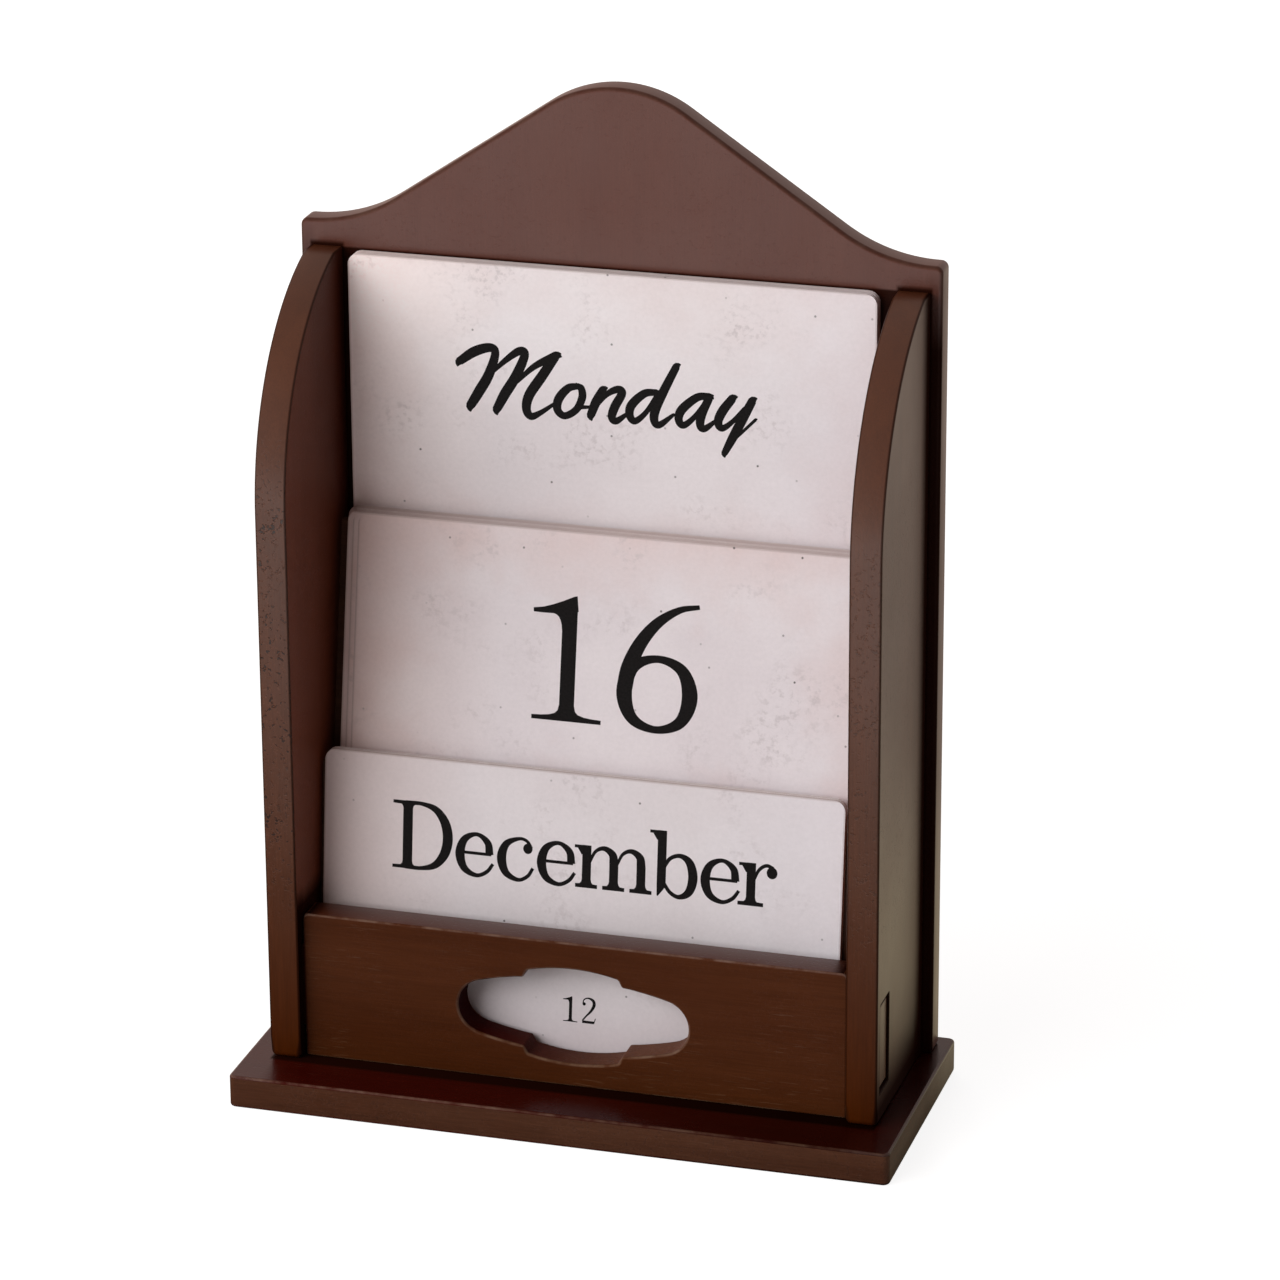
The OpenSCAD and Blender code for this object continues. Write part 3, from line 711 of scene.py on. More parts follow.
head_sink = 0.4
back_heads = [(x, back_high.y - head_sink, z) for x, z in back_screw_places]
base_heads = [(x, y, base_low.z + head_sink) for x, y in base_screw_places]
for node, name, places, turn in (("base_screws", "base_fixings", base_heads, (0, 0, 0)),
                                 ("back_screws", "back_fixings", back_heads, (math.pi / 2, 0, 0))):
    points = bpy.data.meshes.new(name + "_places")
    points.from_pydata([[value * 0.001 for value in place] for place in places], [], [])
    holder = bpy.data.objects.new(name + "_holder", points)
    bpy.context.scene.collection.objects.link(holder)
    maker = holder.modifiers.new("screws", "NODES")
    maker.node_group = screw_tree
    values = {**screw_sizes, "Facing": turn, "Metal": screw_metal}
    for socket in screw_tree.interface.items_tree:
        if socket.in_out == "INPUT" and socket.name in values:
            maker[socket.identifier] = values[socket.name]
    bpy.context.view_layer.update()
    baked = bpy.data.meshes.new_from_object(holder.evaluated_get(bpy.context.evaluated_depsgraph_get()))
    bpy.data.objects.remove(holder)
    baked.materials.clear()
    piece(name, baked, [screw_metal], node, "stand")


# Month cards
# Six pieces of thin card with rounded corners, printed on both sides in a seriffed type with
# the month and, low down, its number, which shows through the window. They lean on their rest.
def pen(*points):
    """A smooth stroke through (x, y, width) points; closed where the last point repeats the first."""
    line = np.array(points, float)
    if np.allclose(line[0], line[-1]):
        line = np.vstack((line[-2], line, line[1], line[2]))
    else:
        line = np.vstack((2 * line[0] - line[1], line, 2 * line[-1] - line[-2]))
    t = np.linspace(0, 1, 8, endpoint=False)[:, None]
    spans = []
    for a, b, c, d in zip(line, line[1:], line[2:], line[3:]):
        curve = 2 * b + (c - a) * t + (2 * a - 5 * b + 4 * c - d) * t**2 + (3 * b - a - 3 * c + d) * t**3
        spans.append(curve / 2)
    return np.vstack(spans + [line[-2:-1]])


def bar(*points):
    """A stroke with straight sides between its points."""
    return np.array(points, float)


def dot(x, y, width):
    """A round blob: a ball at the end of a stroke, or the point of an i."""
    turn = np.radians(np.linspace(-88, 88, 15))
    return np.column_stack((np.full(15, x), y + np.sin(turn) * width / 2, np.cos(turn) * width))


stem_width = 2.2
hairline = 0.76
ascender = 14.4
x_height = 9.4
cap_height = 17.4


def stem(x, low, high, width=stem_width, foot=5.4, head=5.4):
    """An upright stroke that flares into a thin serif at each end that has one."""
    ends = []
    for serif in (foot, head):
        flare = [(0, serif), (0.84, serif), (0.92, width + 1.0), (1.3, width + 0.3), (1.9, width)]
        ends.append(flare if serif else [(0, width)])
    points = [(x, low + reach, wide) for reach, wide in ends[0]]
    points += [(x, high - reach, wide) for reach, wide in ends[1][::-1]]
    return bar(*points)


def serif_line(left, right, y):
    """A thin level stroke."""
    return bar((left, y, hairline), (right, y, hairline))


def flag(x, y):
    """The one-sided serif at the top left of a small letter's stem."""
    return [serif_line(x - 2.7, x, y - hairline / 2), bar((x - 1.1, y - 2.2, 0.02), (x - 1.1, y - 0.6, 2.2))]


def flagged_stem(x, low, high, foot=5.4):
    """A small letter's upright stroke with its flag."""
    return flag(x, high) + [stem(x, low, high, foot=foot, head=0)]


def arch(x, right):
    """The shoulder from one stem to the next, with the stem that it turns into."""
    shoulder = pen((x + 0.6, 5.6, 0.7), (x + 1.9, 8.2, 0.8), (right - 2.2, x_height - 0.35, 1.2),
                   (right - 0.35, 7.9, 1.9), (right, 5.8, stem_width))
    return [shoulder, stem(right, 0, 5.9, head=0)]


def hoop(x, y, across, up, thick, thin):
    """An o: thick at the sides and thin above and below."""
    points = []
    for turn in np.radians(np.arange(90, 450, 45)):
        width = thin + (thick - thin) * math.cos(turn) ** 2
        reach = 1 + 0.035 * math.sin(2 * turn) ** 2
        points.append((x + reach * across * math.cos(turn), y + reach * up * math.sin(turn), width))
    return pen(*points, points[0])


foot_line = hairline / 2
top_line = x_height - hairline / 2
bowl = pen((3.1, 6.4, .9), (4.5, 8.5, .95), (6.7, 9.2, 1.15), (8.7, 7.9, 1.95), (9.5, 4.7, 2.3),
           (8.7, 1.5, 1.95), (6.6, 0.2, 1.15), (4.6, 1.0, .95), (3.1, 3.0, .9))
month_letters = {
    "a": (10.4, [pen((1.9, 7.2, .8), (2.7, 8.8, .8), (4.7, 9.2, .9), (6.6, 8.4, 1.7), (7.1, 6.6, 2.1),
                     (7.1, 2.6, 2.1), (7.6, 0.8, 1.7), (8.9, 0.5, .9), (10.1, 1.6, .6)), dot(2.5, 7.0, 2.2),
                 pen((7.1, 5.6, .8), (4.4, 4.8, 1.1), (2.1, 3.6, 1.9), (1.8, 1.6, 2.0), (3.4, 0.15, 1.3),
                     (5.5, 0.6, .9), (7.0, 2.4, .8))]),
    "b": (11.2, flag(2.6, ascender) + [bar((2.6, ascender, 2.2), (2.6, 2.2, 2.2), (1.8, 0, 0.3)), bowl]),
    "c": (9.8, [dot(7.7, 7.2, 2.3), pen((8.5, 7.4, .8), (7.4, 8.9, .8), (5.6, 9.2, .9), (2.9, 7.8, 1.7),
                                        (1.9, 4.7, 2.3), (2.9, 1.5, 1.8), (5.6, 0.15, 1.0), (7.7, 1.1, .9),
                                        (8.9, 3.0, .8))]),
    "e": (10.2, [serif_line(2.4, 8.9, 5.0),
                 pen((8.5, 4.9, 2.0), (8.0, 7.6, 1.7), (5.6, 9.2, 1.0), (2.9, 7.9, 1.75), (1.9, 4.7, 2.3),
                     (2.9, 1.5, 1.8), (5.6, 0.15, 1.05), (7.9, 1.1, .95), (9.3, 3.0, .8))]),
    "g": (10.0, [hoop(4.6, 6.5, 2.4, 2.5, 1.9, .8), dot(8.7, 8.8, 1.8),
                 pen((3.2, 4.2, .8), (2.0, 2.8, 1.1), (2.9, 1.5, 1.6), (6.0, 1.0, 1.9), (8.2, -0.5, 1.8),
                     (7.6, -3.0, 1.3), (4.8, -4.2, .8), (2.0, -3.4, 1.3), (1.4, -1.5, 1.4), (3.0, 0.9, .8)),
                 pen((6.2, 8.4, .7), (7.6, 9.4, .8), (8.6, 9.3, .9))]),
    "h": (11.4, flagged_stem(2.6, 0, ascender) + arch(2.6, 8.7)),
    "i": (5.4, flagged_stem(2.7, 0, x_height) + [dot(2.6, 13.4, 2.5)]),
    "l": (5.4, flagged_stem(2.7, 0, ascender)),
    "m": (17.4, flagged_stem(2.6, 0, x_height) + arch(2.6, 8.6) + arch(8.6, 14.6)),
    "n": (11.4, flagged_stem(2.6, 0, x_height) + arch(2.6, 8.7)),
    "o": (10.6, [hoop(5.3, 4.7, 3.7, 4.5, 2.2, .9)]),
    "p": (11.4, flagged_stem(2.6, -5.4, x_height) + [bowl]),
    "r": (8.6, flagged_stem(2.6, 0, x_height, foot=6.2) +
               [dot(7.1, 7.6, 2.6), pen((3.1, 5.4, .7), (4.2, 7.9, .8), (5.8, 9.1, .9), (7.4, 8.6, .9))]),
    "s": (8.8, [pen((6.9, 6.6, .6), (6.3, 8.4, .8), (4.3, 9.2, .9), (2.4, 8.2, 1.5), (2.5, 6.2, 1.9),
                    (4.5, 4.9, 2.1), (6.7, 3.6, 2.0), (7.0, 1.6, 1.6), (4.6, 0.15, .9), (2.4, 0.9, .8),
                    (1.5, 3.0, .6)),
                bar((7.0, 6.5, .6), (7.0, 9.3, .6)), bar((1.4, 0.1, .6), (1.4, 3.1, .6))]),
    "t": (7.6, [pen((3.2, 12.0, .3), (3.3, 10.4, 1.5), (3.4, 8.4, 2.2), (3.4, 3.2, 2.2), (3.9, 0.9, 1.8),
                    (5.4, 0.3, 1.0), (7.2, 2.0, .6)), serif_line(1.0, 6.8, top_line)]),
    "u": (11.4, [pen((2.6, x_height, 2.2), (2.6, 3.6, 2.2), (3.0, 1.2, 1.8), (4.9, 0.25, 1.1), (7.0, 1.2, .8),
                     (8.4, 3.8, .7)), bar((8.7, x_height, 2.2), (8.7, 0, 2.2)),
                 serif_line(8.7, 11.0, foot_line), *flag(2.6, x_height), *flag(8.7, x_height)]),
    "v": (10.2, [bar((2.2, top_line, 2.3), (5.2, 0.3, 2.0)), bar((8.2, top_line, .8), (5.3, 0.3, .9)),
                 serif_line(0.2, 4.5, top_line), serif_line(6.4, 10.0, top_line)]),
    "y": (10.4, [bar((2.2, top_line, 2.3), (5.4, 0.6, 2.0)), serif_line(0.2, 4.5, top_line),
                 dot(2.3, -3.8, 2.2), pen((8.4, top_line, .8), (5.4, 0.6, .9), (4.2, -2.8, .9),
                                          (2.8, -4.4, 1.0)),
                 serif_line(6.6, 10.2, top_line)]),
    "A": (17.0, [bar((2.8, 0.2, .9), (8.3, cap_height, 1.0)),
                 bar((4.4, 5.8, hairline), (12.0, 5.8, hairline)),
                 bar((8.2, cap_height, 1.6), (8.9, cap_height - 1, 2.4), (13.9, 0.4, 2.5)),
                 serif_line(0.4, 5.4, foot_line), serif_line(10.8, 16.8, foot_line)]),
    "D": (17.9, [stem(5.4, 0, cap_height, 2.4, 7.4, 7.4),
                 pen((4.8, .4, .9), (9.0, .45, 1.0), (12.6, 1.6, 1.7), (15.0, 4.7, 2.3), (15.8, 8.7, 2.5),
                     (15.0, 12.7, 2.3), (12.6, 15.8, 1.7), (9.0, 16.95, 1.0), (4.8, 17.0, .9))]),
    "F": (15.0, [stem(4.2, 0, cap_height, 2.4, 6.0, 5.6), serif_line(4.2, 14.0, 17.0),
                 serif_line(4.2, 9.8, 9.0), bar((13.9, cap_height, 1.1), (14.2, 12.8, .3)),
                 bar((9.6, 11.6, .3), (9.7, 9.0, 1.0), (9.6, 6.4, .3))]),
    "J": (12.6, [pen((7.2, cap_height, 2.4), (7.2, 11.0, 2.4), (7.2, 5.0, 2.4), (6.6, 1.9, 2.0),
                     (4.4, 0.3, 1.1), (2.3, 1.1, .9)), dot(2.7, 2.5, 2.7),
                 serif_line(4.0, 11.0, cap_height - .4)]),
    "M": (21.0, [stem(3.4, 0, cap_height, 0.9, 5.0, 4.4), bar((3.9, cap_height - .4, 2.3), (10.1, 1.2, 2.2)),
                 bar((10.0, 0.6, .9), (16.6, cap_height - .4, .9)),
                 stem(17.2, 0, cap_height, 2.4, 5.8, 4.6)]),
    "N": (17.8, [stem(3.4, 0, cap_height, 0.9, 5.0, 4.4), bar((3.9, cap_height - .4, 2.4), (14.4, 0.2, 2.5)),
                 stem(14.6, 0, cap_height, 0.9, 0, 5.0)]),
    "O": (17.6, [hoop(8.8, 8.7, 6.5, 8.4, 2.6, .9)]),
    "S": (13.8, [pen((11.6, 12.4, .7), (10.6, 15.6, .9), (7.2, 16.9, 1.0), (3.8, 15.3, 1.9), (3.4, 12.2, 2.4),
                     (6.4, 9.6, 2.6), (10.2, 7.2, 2.6), (11.2, 3.6, 2.2), (7.6, 0.5, 1.0), (3.8, 1.6, .9),
                     (2.2, 5.4, .7)), bar((11.7, 12.2, .8), (11.7, 17.0, .8)),
                 bar((2.1, 0.4, .8), (2.1, 5.6, .8))]),
}
numerals = {
    "0": (24.0, [hoop(12.0, 17.0, 8.6, 16.4, 4.0, 1.5)]),
    "1": (20.0, [bar((9.7, 30.9, 4.1), (9.7, 4.4, 4.1), (9.7, 2.8, 4.8), (9.7, 2.0, 6.4), (9.7, 1.5, 9.6),
                     (9.7, 1.25, 14.0), (9.7, 1.15, 19.0), (9.7, 0, 19.0)),
                 bar((-0.3, 29.05, 1.1), (2.5, 29.25, 1.6), (5.2, 29.7, 2.4), (8.0, 30.4, 3.2),
                     (11.3, 31.45, 4.1), (11.75, 31.5, 4.2)),
                 bar((8.2, 28.9, 6.4), (8.2, 28.5, 5.8), (8.2, 28.2, 4.2), (8.2, 27.7, 3.1), (8.2, 26.9, 2.2),
                     (8.2, 25.7, 1.5), (8.2, 24.0, 1.1))]),
    "2": (22.0, [dot(4.4, 25.4, 4.4), pen((2.7, 25.4, 1.2), (4.2, 31.0, 1.6), (9.6, 33.3, 2.0),
                                          (16.0, 30.6, 3.8), (17.4, 24.6, 4.1), (13.6, 16.8, 3.2),
                                          (7.6, 9.8, 2.2), (2.6, 3.4, 2.0)),
                 bar((2.2, 1.9, 3.6), (17.8, 1.8, 3.5)), bar((17.6, 0.2, 1.0), (19.6, 7.6, 1.2))]),
    "3": (22.0, [dot(4.6, 27.0, 4.2), dot(4.4, 6.6, 4.2),
                 pen((2.9, 27.0, 1.2), (4.6, 31.6, 1.5), (9.6, 33.3, 1.9), (15.2, 30.8, 3.4),
                     (16.0, 25.4, 3.8), (12.6, 19.4, 2.2), (8.2, 17.9, 1.4)),
                 pen((8.2, 18.2, 1.4), (13.6, 17.4, 2.2), (18.0, 12.4, 3.9), (17.2, 5.2, 3.7),
                     (11.0, 0.8, 1.9), (5.0, 1.9, 1.5), (2.7, 6.6, 1.2))]),
    "4": (23.0, [bar((15.2, 33.8, 3.8), (15.2, 2.6, 3.8), (15.2, 1.35, 7.0), (15.2, 1.2, 12.0),
                     (15.2, 0, 12.0)),
                 bar((1.4, 9.9, 2.2), (21.6, 9.9, 2.2)), bar((15.0, 33.0, 1.6), (1.8, 9.9, 1.6))]),
    "5": (22.0, [bar((4.9, 33.0, 1.4), (4.3, 17.6, 1.4)), bar((4.4, 31.6, 3.6), (17.6, 31.6, 3.4)),
                 dot(4.3, 6.6, 4.2), pen((4.3, 17.2, 1.2), (9.4, 20.2, 1.8), (15.4, 18.0, 3.5),
                                         (17.8, 10.8, 4.0), (15.6, 4.0, 3.3), (9.6, 0.8, 1.9),
                                         (4.4, 2.2, 1.5), (2.6, 6.6, 1.2))]),
    "6": (24.4, [hoop(11.5, 9.6, 8.9, 9.4, 4.3, 2.0),
                 pen((22.0, 33.7, 1.2), (16.6, 32.4, 1.8), (11.0, 28.6, 2.8), (6.6, 23.0, 3.6),
                     (3.7, 16.4, 4.2), (2.65, 10.6, 4.3))]),
    "7": (22.0, [bar((2.6, 31.8, 3.6), (19.6, 31.8, 3.6)), bar((2.4, 33.6, 1.4), (2.4, 25.6, 1.2)),
                 pen((19.2, 31.4, 1.4), (14.4, 21.8, 2.2), (10.8, 11.0, 3.6), (9.8, 0.2, 4.4))]),
    "8": (23.0, [hoop(11.4, 25.2, 6.6, 7.6, 3.0, 1.5), hoop(11.4, 9.2, 8.2, 8.5, 3.7, 1.6)]),
}
numerals["9"] = (24.4, [part * (-1, -1, 1) + (24.0, 33.6, 0) for part in numerals["6"][1]])


def word(text, letters, gap, small=1.0, capital=1.0, weight=1.0):
    """The strokes of a word, centred on x = 0 with its baseline on y = 0."""
    strokes = []
    x = 0.0
    for letter in text:
        advance, parts = letters[letter]
        growth = small if letter.islower() else capital
        strokes += [part * (growth, growth, weight) + (x, 0, 0) for part in parts]
        x += advance * growth + gap
    low = min((stroke[:, 0] - stroke[:, 2] / 2).min() for stroke in strokes)
    high = max((stroke[:, 0] + stroke[:, 2] / 2).max() for stroke in strokes)
    return [stroke - ((low + high) / 2, 0, 0) for stroke in strokes]


def inked_face(outline, strokes):
    """A card face's points and triangles, its outline's points by number, and which triangles are inked."""
    points = [Vector(point[:2]) for point in outline]
    edge_count = len(points)
    faces = [list(range(edge_count))]
    for stroke in strokes:
        ahead = np.gradient(stroke[:, :2], axis=0)
        ahead /= np.maximum(np.linalg.norm(ahead, axis=1), 1e-9)[:, None]
        side = np.column_stack((-ahead[:, 1], ahead[:, 0])) * stroke[:, 2:] / 2
        first = len(points)
        for left, right in zip(stroke[:, :2] + side, stroke[:, :2] - side):
            points += [Vector(left), Vector(right)]
        for corner in range(first, len(points) - 2, 2):
            for triangle in ((corner + 1, corner + 3, corner + 2), (corner + 1, corner + 2, corner)):
                a, b, c = (points[number] for number in triangle)
                area = (b - a).cross(c - a)
                if abs(area) > 1e-5:
                    faces.append(list(triangle if area > 0 else triangle[::-1]))
    found = delaunay_2d_cdt(points, [], faces, 1, 1e-5)
    edge = {}
    for number, made_from in enumerate(found[3]):
        for source in made_from:
            if source < edge_count:
                edge[source] = number
    inked = [max(inside) > 0 for inside in found[5]]
    return found[0], found[2], edge, inked


def paper_stock(name, thin, full, pink, top_light, left, right, foot):
    """Card paper between two tones, specked, toned pink at its edges and lighter towards its top as painted
    light.

    Painted light and shade tint its left and right ends and its foot.
    """
    half_wide = 71.0
    half_tall = 40.75
    top_light_white = (0.93, 0.885, 0.90, 1)
    edge_pink = (0.785, 0.645, 0.635, 1)
    soiled_and_shaded_edge = (0.36, 0.27, 0.25, 1)
    blot_grey = (0.50, 0.44, 0.45, 1)
    speck_black = (0.10, 0.085, 0.085, 1)
    made, tree, surface = shader(name)
    sheet = tree.nodes.new("ShaderNodeUVMap")
    sheet.uv_map = "sheet"
    number = add(tree, "ShaderNodeAttribute", {}, attribute_name="sheet_number").node.outputs["Fac"]
    own = add(tree, "ShaderNodeCombineXYZ", {"X": 0.0, "Y": 0.0, "Z": number})
    spot = add(tree, "ShaderNodeVectorMath", {0: sheet.outputs[0], 1: own}, operation="ADD")

    def cloud(scale, detail, low, high):
        noise = add(tree, "ShaderNodeTexNoise", {"Vector": spot, "Scale": scale, "Detail": detail,
                                                 "Roughness": 0.6})
        return steps(tree, noise, low, high)

    def reckon(how, first, second):
        return add(tree, "ShaderNodeMath", {0: first, 1: second}, operation=how)

    across = add(tree, "ShaderNodeSeparateXYZ", {"Vector": sheet.outputs[0]}).node.outputs
    reach_x = reckon("SUBTRACT", half_wide, reckon("ABSOLUTE", across["X"], 0.0))
    from_middle = reckon("ABSOLUTE", reckon("SUBTRACT", across["Y"], half_tall), 0.0)
    reach_y = reckon("SUBTRACT", half_tall, from_middle)
    reach = reckon("MINIMUM", reach_x, reach_y)
    ragged = reckon("ADD", reach, steps(tree, cloud(0.05, 4, 0.3, 0.7), 0, 1, -8.0, 8.0))
    colour = blend(tree, cloud(0.025, 3, 0.35, 0.65), (*thin, 1), (*full, 1))
    # Painted light: lighter towards the top
    colour = blend(tree, steps(tree, across["Y"], 42.0, 78.0, 0.0, top_light), colour, top_light_white)
    colour = blend(tree, steps(tree, ragged, -7.0, 21.0, pink, 0.0), colour, edge_pink)
    # A thin darker line along each card's edge: dirt, and painted shade in the gaps between the cards
    colour = blend(tree, steps(tree, reach, 0.1, 0.6, 0.5, 0.0), colour, soiled_and_shaded_edge)
    blots = reckon("MULTIPLY", cloud(0.04, 2, 0.52, 0.68), cloud(0.55, 3, 0.50, 0.66))
    colour = blend(tree, steps(tree, blots, 0, 1, 0, 0.42), colour, blot_grey)
    mottle = steps(tree, cloud(0.9, 3, 0.3, 0.7), 0, 1, 0.975, 1.025)
    mottle = add(tree, "ShaderNodeCombineXYZ", {0: mottle, 1: mottle, 2: mottle})
    colour = blend(tree, 1.0, colour, mottle, "MULTIPLY")
    own_place = add(tree, "ShaderNodeCombineXYZ", {"X": number, "Y": number, "Z": 0.0})
    speck_spot = add(tree, "ShaderNodeVectorMath", {0: sheet.outputs[0], 1: own_place}, operation="ADD")
    specks = add(tree, "ShaderNodeTexVoronoi", {"Vector": speck_spot, "Scale": 0.055, "Randomness": 1.0},
                 voronoi_dimensions="2D")
    darkness = add(tree, "ShaderNodeSeparateXYZ", {"Vector": specks.node.outputs["Color"]})
    specked = reckon("MULTIPLY", steps(tree, specks, 0.010, 0.021, 1.0, 0.0), steps(tree, darkness, 0.3, 1.0))
    colour = blend(tree, specked, colour, speck_black)
    # Painted light and shade on the left and right ends and at the foot
    for side, start, end, tint in (("X", -30.0, -68.0, left), ("X", 30.0, 68.0, right),
                                   ("Y", 24.0, 8.0, foot)):
        light_and_shade_tint = blend(tree, steps(tree, across[side], start, end), (1, 1, 1, 1), (*tint, 1))
        colour = blend(tree, 1.0, colour, light_and_shade_tint, "MULTIPLY")
    tree.links.new(colour, surface.inputs["Base Color"])
    surface.inputs["Roughness"].default_value = 0.72
    surface.inputs["Specular IOR Level"].default_value = 0.2
    tooth = cloud(3.0, 3, 0.2, 0.8)
    relief = add(tree, "ShaderNodeBump", {"Height": tooth, "Strength": 0.08, "Distance": 0.00005})
    tree.links.new(relief, surface.inputs["Normal"])
    return made


ink, ink_tree, ink_surface = shader("card_ink")
ink_sheet = ink_tree.nodes.new("ShaderNodeUVMap")
ink_sheet.uv_map = "sheet"
ink_noise = add(ink_tree, "ShaderNodeTexNoise", {"Vector": ink_sheet.outputs[0], "Scale": 1.6, "Detail": 4.0})
ink_tone = steps(ink_tree, ink_noise, 0.35, 0.7)
ink_colour = blend(ink_tree, ink_tone, (0.0070, 0.0064, 0.0066, 1), (0.0125, 0.0110, 0.0110, 1))
ink_tree.links.new(ink_colour, ink_surface.inputs["Base Color"])
ink_tree.links.new(steps(ink_tree, ink_noise, 0.3, 0.7, 0.5, 0.66), ink_surface.inputs["Roughness"])
ink_surface.inputs["Specular IOR Level"].default_value = 0.08

cut_edge, cut_tree, cut_surface = shader("card_cut_edge")
cut_place = cut_tree.nodes.new("ShaderNodeTexCoord").outputs["Object"]
cut_noise = add(cut_tree, "ShaderNodeTexNoise", {"Vector": cut_place, "Scale": 420.0, "Detail": 3.0})
cut_sheet = add(cut_tree, "ShaderNodeAttribute", {}, attribute_name="sheet_number").node.outputs["Fac"]
cut_age = add(cut_tree, "ShaderNodeTexWhiteNoise", {"W": cut_sheet}, noise_dimensions="1D")
cut_colour = blend(cut_tree, cut_age, (0.90, 0.85, 0.83, 1), (0.52, 0.42, 0.39, 1))
cut_soil = steps(cut_tree, cut_noise, 0.45, 0.75, 0.0, 0.4)
cut_colour = blend(cut_tree, cut_soil, cut_colour, (0.58, 0.48, 0.45, 1))
cut_tree.links.new(cut_colour, cut_surface.inputs["Base Color"])
cut_surface.inputs["Roughness"].default_value = 0.8
cut_surface.inputs["Specular IOR Level"].default_value = 0.15

lift_ways = {joint["child"]: Vector(joint["axis"]) for joint in frame["joints"]}
card_corner = 3.0
# Each card takes its own patch of the paper's pattern
patch_spacing = 37.0
sheets_made = []


def printed_card(node, name, stock, front, back):
    """A thin card in its CAD node's place, with strokes printed on its front and its back."""
    low, high = (corner * 1000 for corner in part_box(node))
    up = lift_ways[node]
    size = high - low
    squeeze = up.z**2 - up.y**2
    thick = (size.y * up.z - size.z * up.y) / squeeze
    tall = (size.z * up.z - size.y * up.y) / squeeze
    foot = Vector(((low.x + high.x) / 2, low.y, low.z + thick * up.y))
    inwards = Vector((0, up.z, -up.y))
    half = size.x / 2
    outline = softened(rectangle(-half, 0, half, tall, card_corner, 0))
    verts = []
    faces = []
    kinds = []
    spots = []
    edges = []
    turned_back = [stroke * (-1, 1, 1) for stroke in back]
    for strokes, depth in ((front, 0.0), (turned_back, thick)):
        points, triangles, edge, inked = inked_face(outline, strokes)
        first = len(verts)
        for point in points:
            verts.append((foot + Vector((point.x, 0, 0)) + up * point.y + inwards * depth) * 0.001)
        spots += [(point.x, point.y) if depth == 0 else (-point.x, point.y) for point in points]
        for triangle, dark in zip(triangles, inked):
            corners = [first + number for number in triangle]
            faces.append(corners if depth == 0 else corners[::-1])
            kinds.append(1 if dark else 0)
        edges.append([first + edge[number] for number in range(len(outline))])
    for number in range(len(outline)):
        faces.append((edges[0][number], edges[0][number - 1], edges[1][number - 1], edges[1][number]))
        kinds.append(2)
    mesh = bpy.data.meshes.new(name)
    mesh.from_pydata(verts, [], faces)
    mesh.polygons.foreach_set("material_index", kinds)
    sheet_map = mesh.uv_layers.new(name="sheet")
    for loop in mesh.loops:
        sheet_map.data[loop.index].uv = spots[loop.vertex_index]
    sheets_made.append(name)
    number_values = mesh.attributes.new("sheet_number", "FLOAT", "POINT")
    number_values.data.foreach_set("value", [len(sheets_made) * patch_spacing] * len(verts))
    piece(name, mesh, [stock, ink, cut_edge], node, node)


def month_face(text, number):
    """The strokes of one side of a month card."""
    middle_x = 0.85
    name_baseline = 50.8
    number_baseline = 13.6
    number_size = 0.21
    name = word(text, month_letters, gap=-1.15, small=1.24, capital=1.07, weight=1.12)
    figures = word(str(number), numerals, gap=3.0)
    name_strokes = [stroke + (middle_x, name_baseline, 0) for stroke in name]
    number_strokes = [stroke * number_size + (middle_x, number_baseline, 0) for stroke in figures]
    return name_strokes + number_strokes


month_names = ("January", "February", "March", "April", "May", "June",
               "July", "August", "September", "October", "November", "December")
front_months = (12, 1, 2, 3, 4, 5)
back_months = (11, 10, 9, 8, 7, 6)
month_paper = paper_stock("month_paper", (0.735, 0.685, 0.705), (0.78, 0.73, 0.75), pink=0.12, top_light=0.0,
                          left=(0.99, 0.90, 0.86), right=(1.12, 1.15, 1.17), foot=(0.87, 0.85, 0.86))
for place, (front_month, back_month) in enumerate(zip(front_months, back_months), 1):
    printed_card(f"month_card_{place}", f"month_sheet_{place}", month_paper,
                 month_face(month_names[front_month - 1], front_month),
                 month_face(month_names[back_month - 1], back_month))


# Date cards
# Sixteen cards of the same stock, with a large numeral on each side. They stand on the date
# shelf and lean on the date rest, the front ones pushed a little to the right.
def date_face(number):
    """The strokes of one side of a date card; none on the side that is left over."""
    if number == 0:
        return []
    middle_x = 0.6
    baseline = 31.0
    return [stroke + (middle_x, baseline, 0) for stroke in word(str(number), numerals, gap=2.6)]


date_paper = paper_stock("date_paper", (0.78, 0.715, 0.74), (0.84, 0.78, 0.80), pink=0.95, top_light=0.0,
                         left=(0.92, 0.84, 0.80), right=(1.03, 1.05, 1.06), foot=(1, 1, 1))
for place in range(1, 17):
    printed_card(f"date_card_{place}", f"date_sheet_{place}", date_paper,
                 date_face(15 + place), date_face(16 - place))


# Weekday cards
# Four cards that stand upright in the pocket at the back, with the day lettered on each side
# in a sloping brush hand. The last side is left over and blank.
def brush(*points):
    """A smooth stroke that ends in slanted points on its right, as a flat brush leaves them."""
    line = pen(*points)
    caps = []
    for end, inner in ((line[0], line[1]), (line[-1], line[-2])):
        way = (end - inner)[:2] / np.linalg.norm((end - inner)[:2])
        side = np.array((-way[1], way[0])) * math.copysign(1, -way[1])
        cap = []
        for reach, slide, wide in ((0.22, 0.06, 0.84), (0.42, 0.20, 0.50), (0.56, 0.36, 0.10)):
            cap.append((*(end[:2] + (way * reach + side * slide) * end[2]), end[2] * wide))
        caps.append(np.array(cap))
    return np.vstack((caps[0][::-1], line, caps[1]))


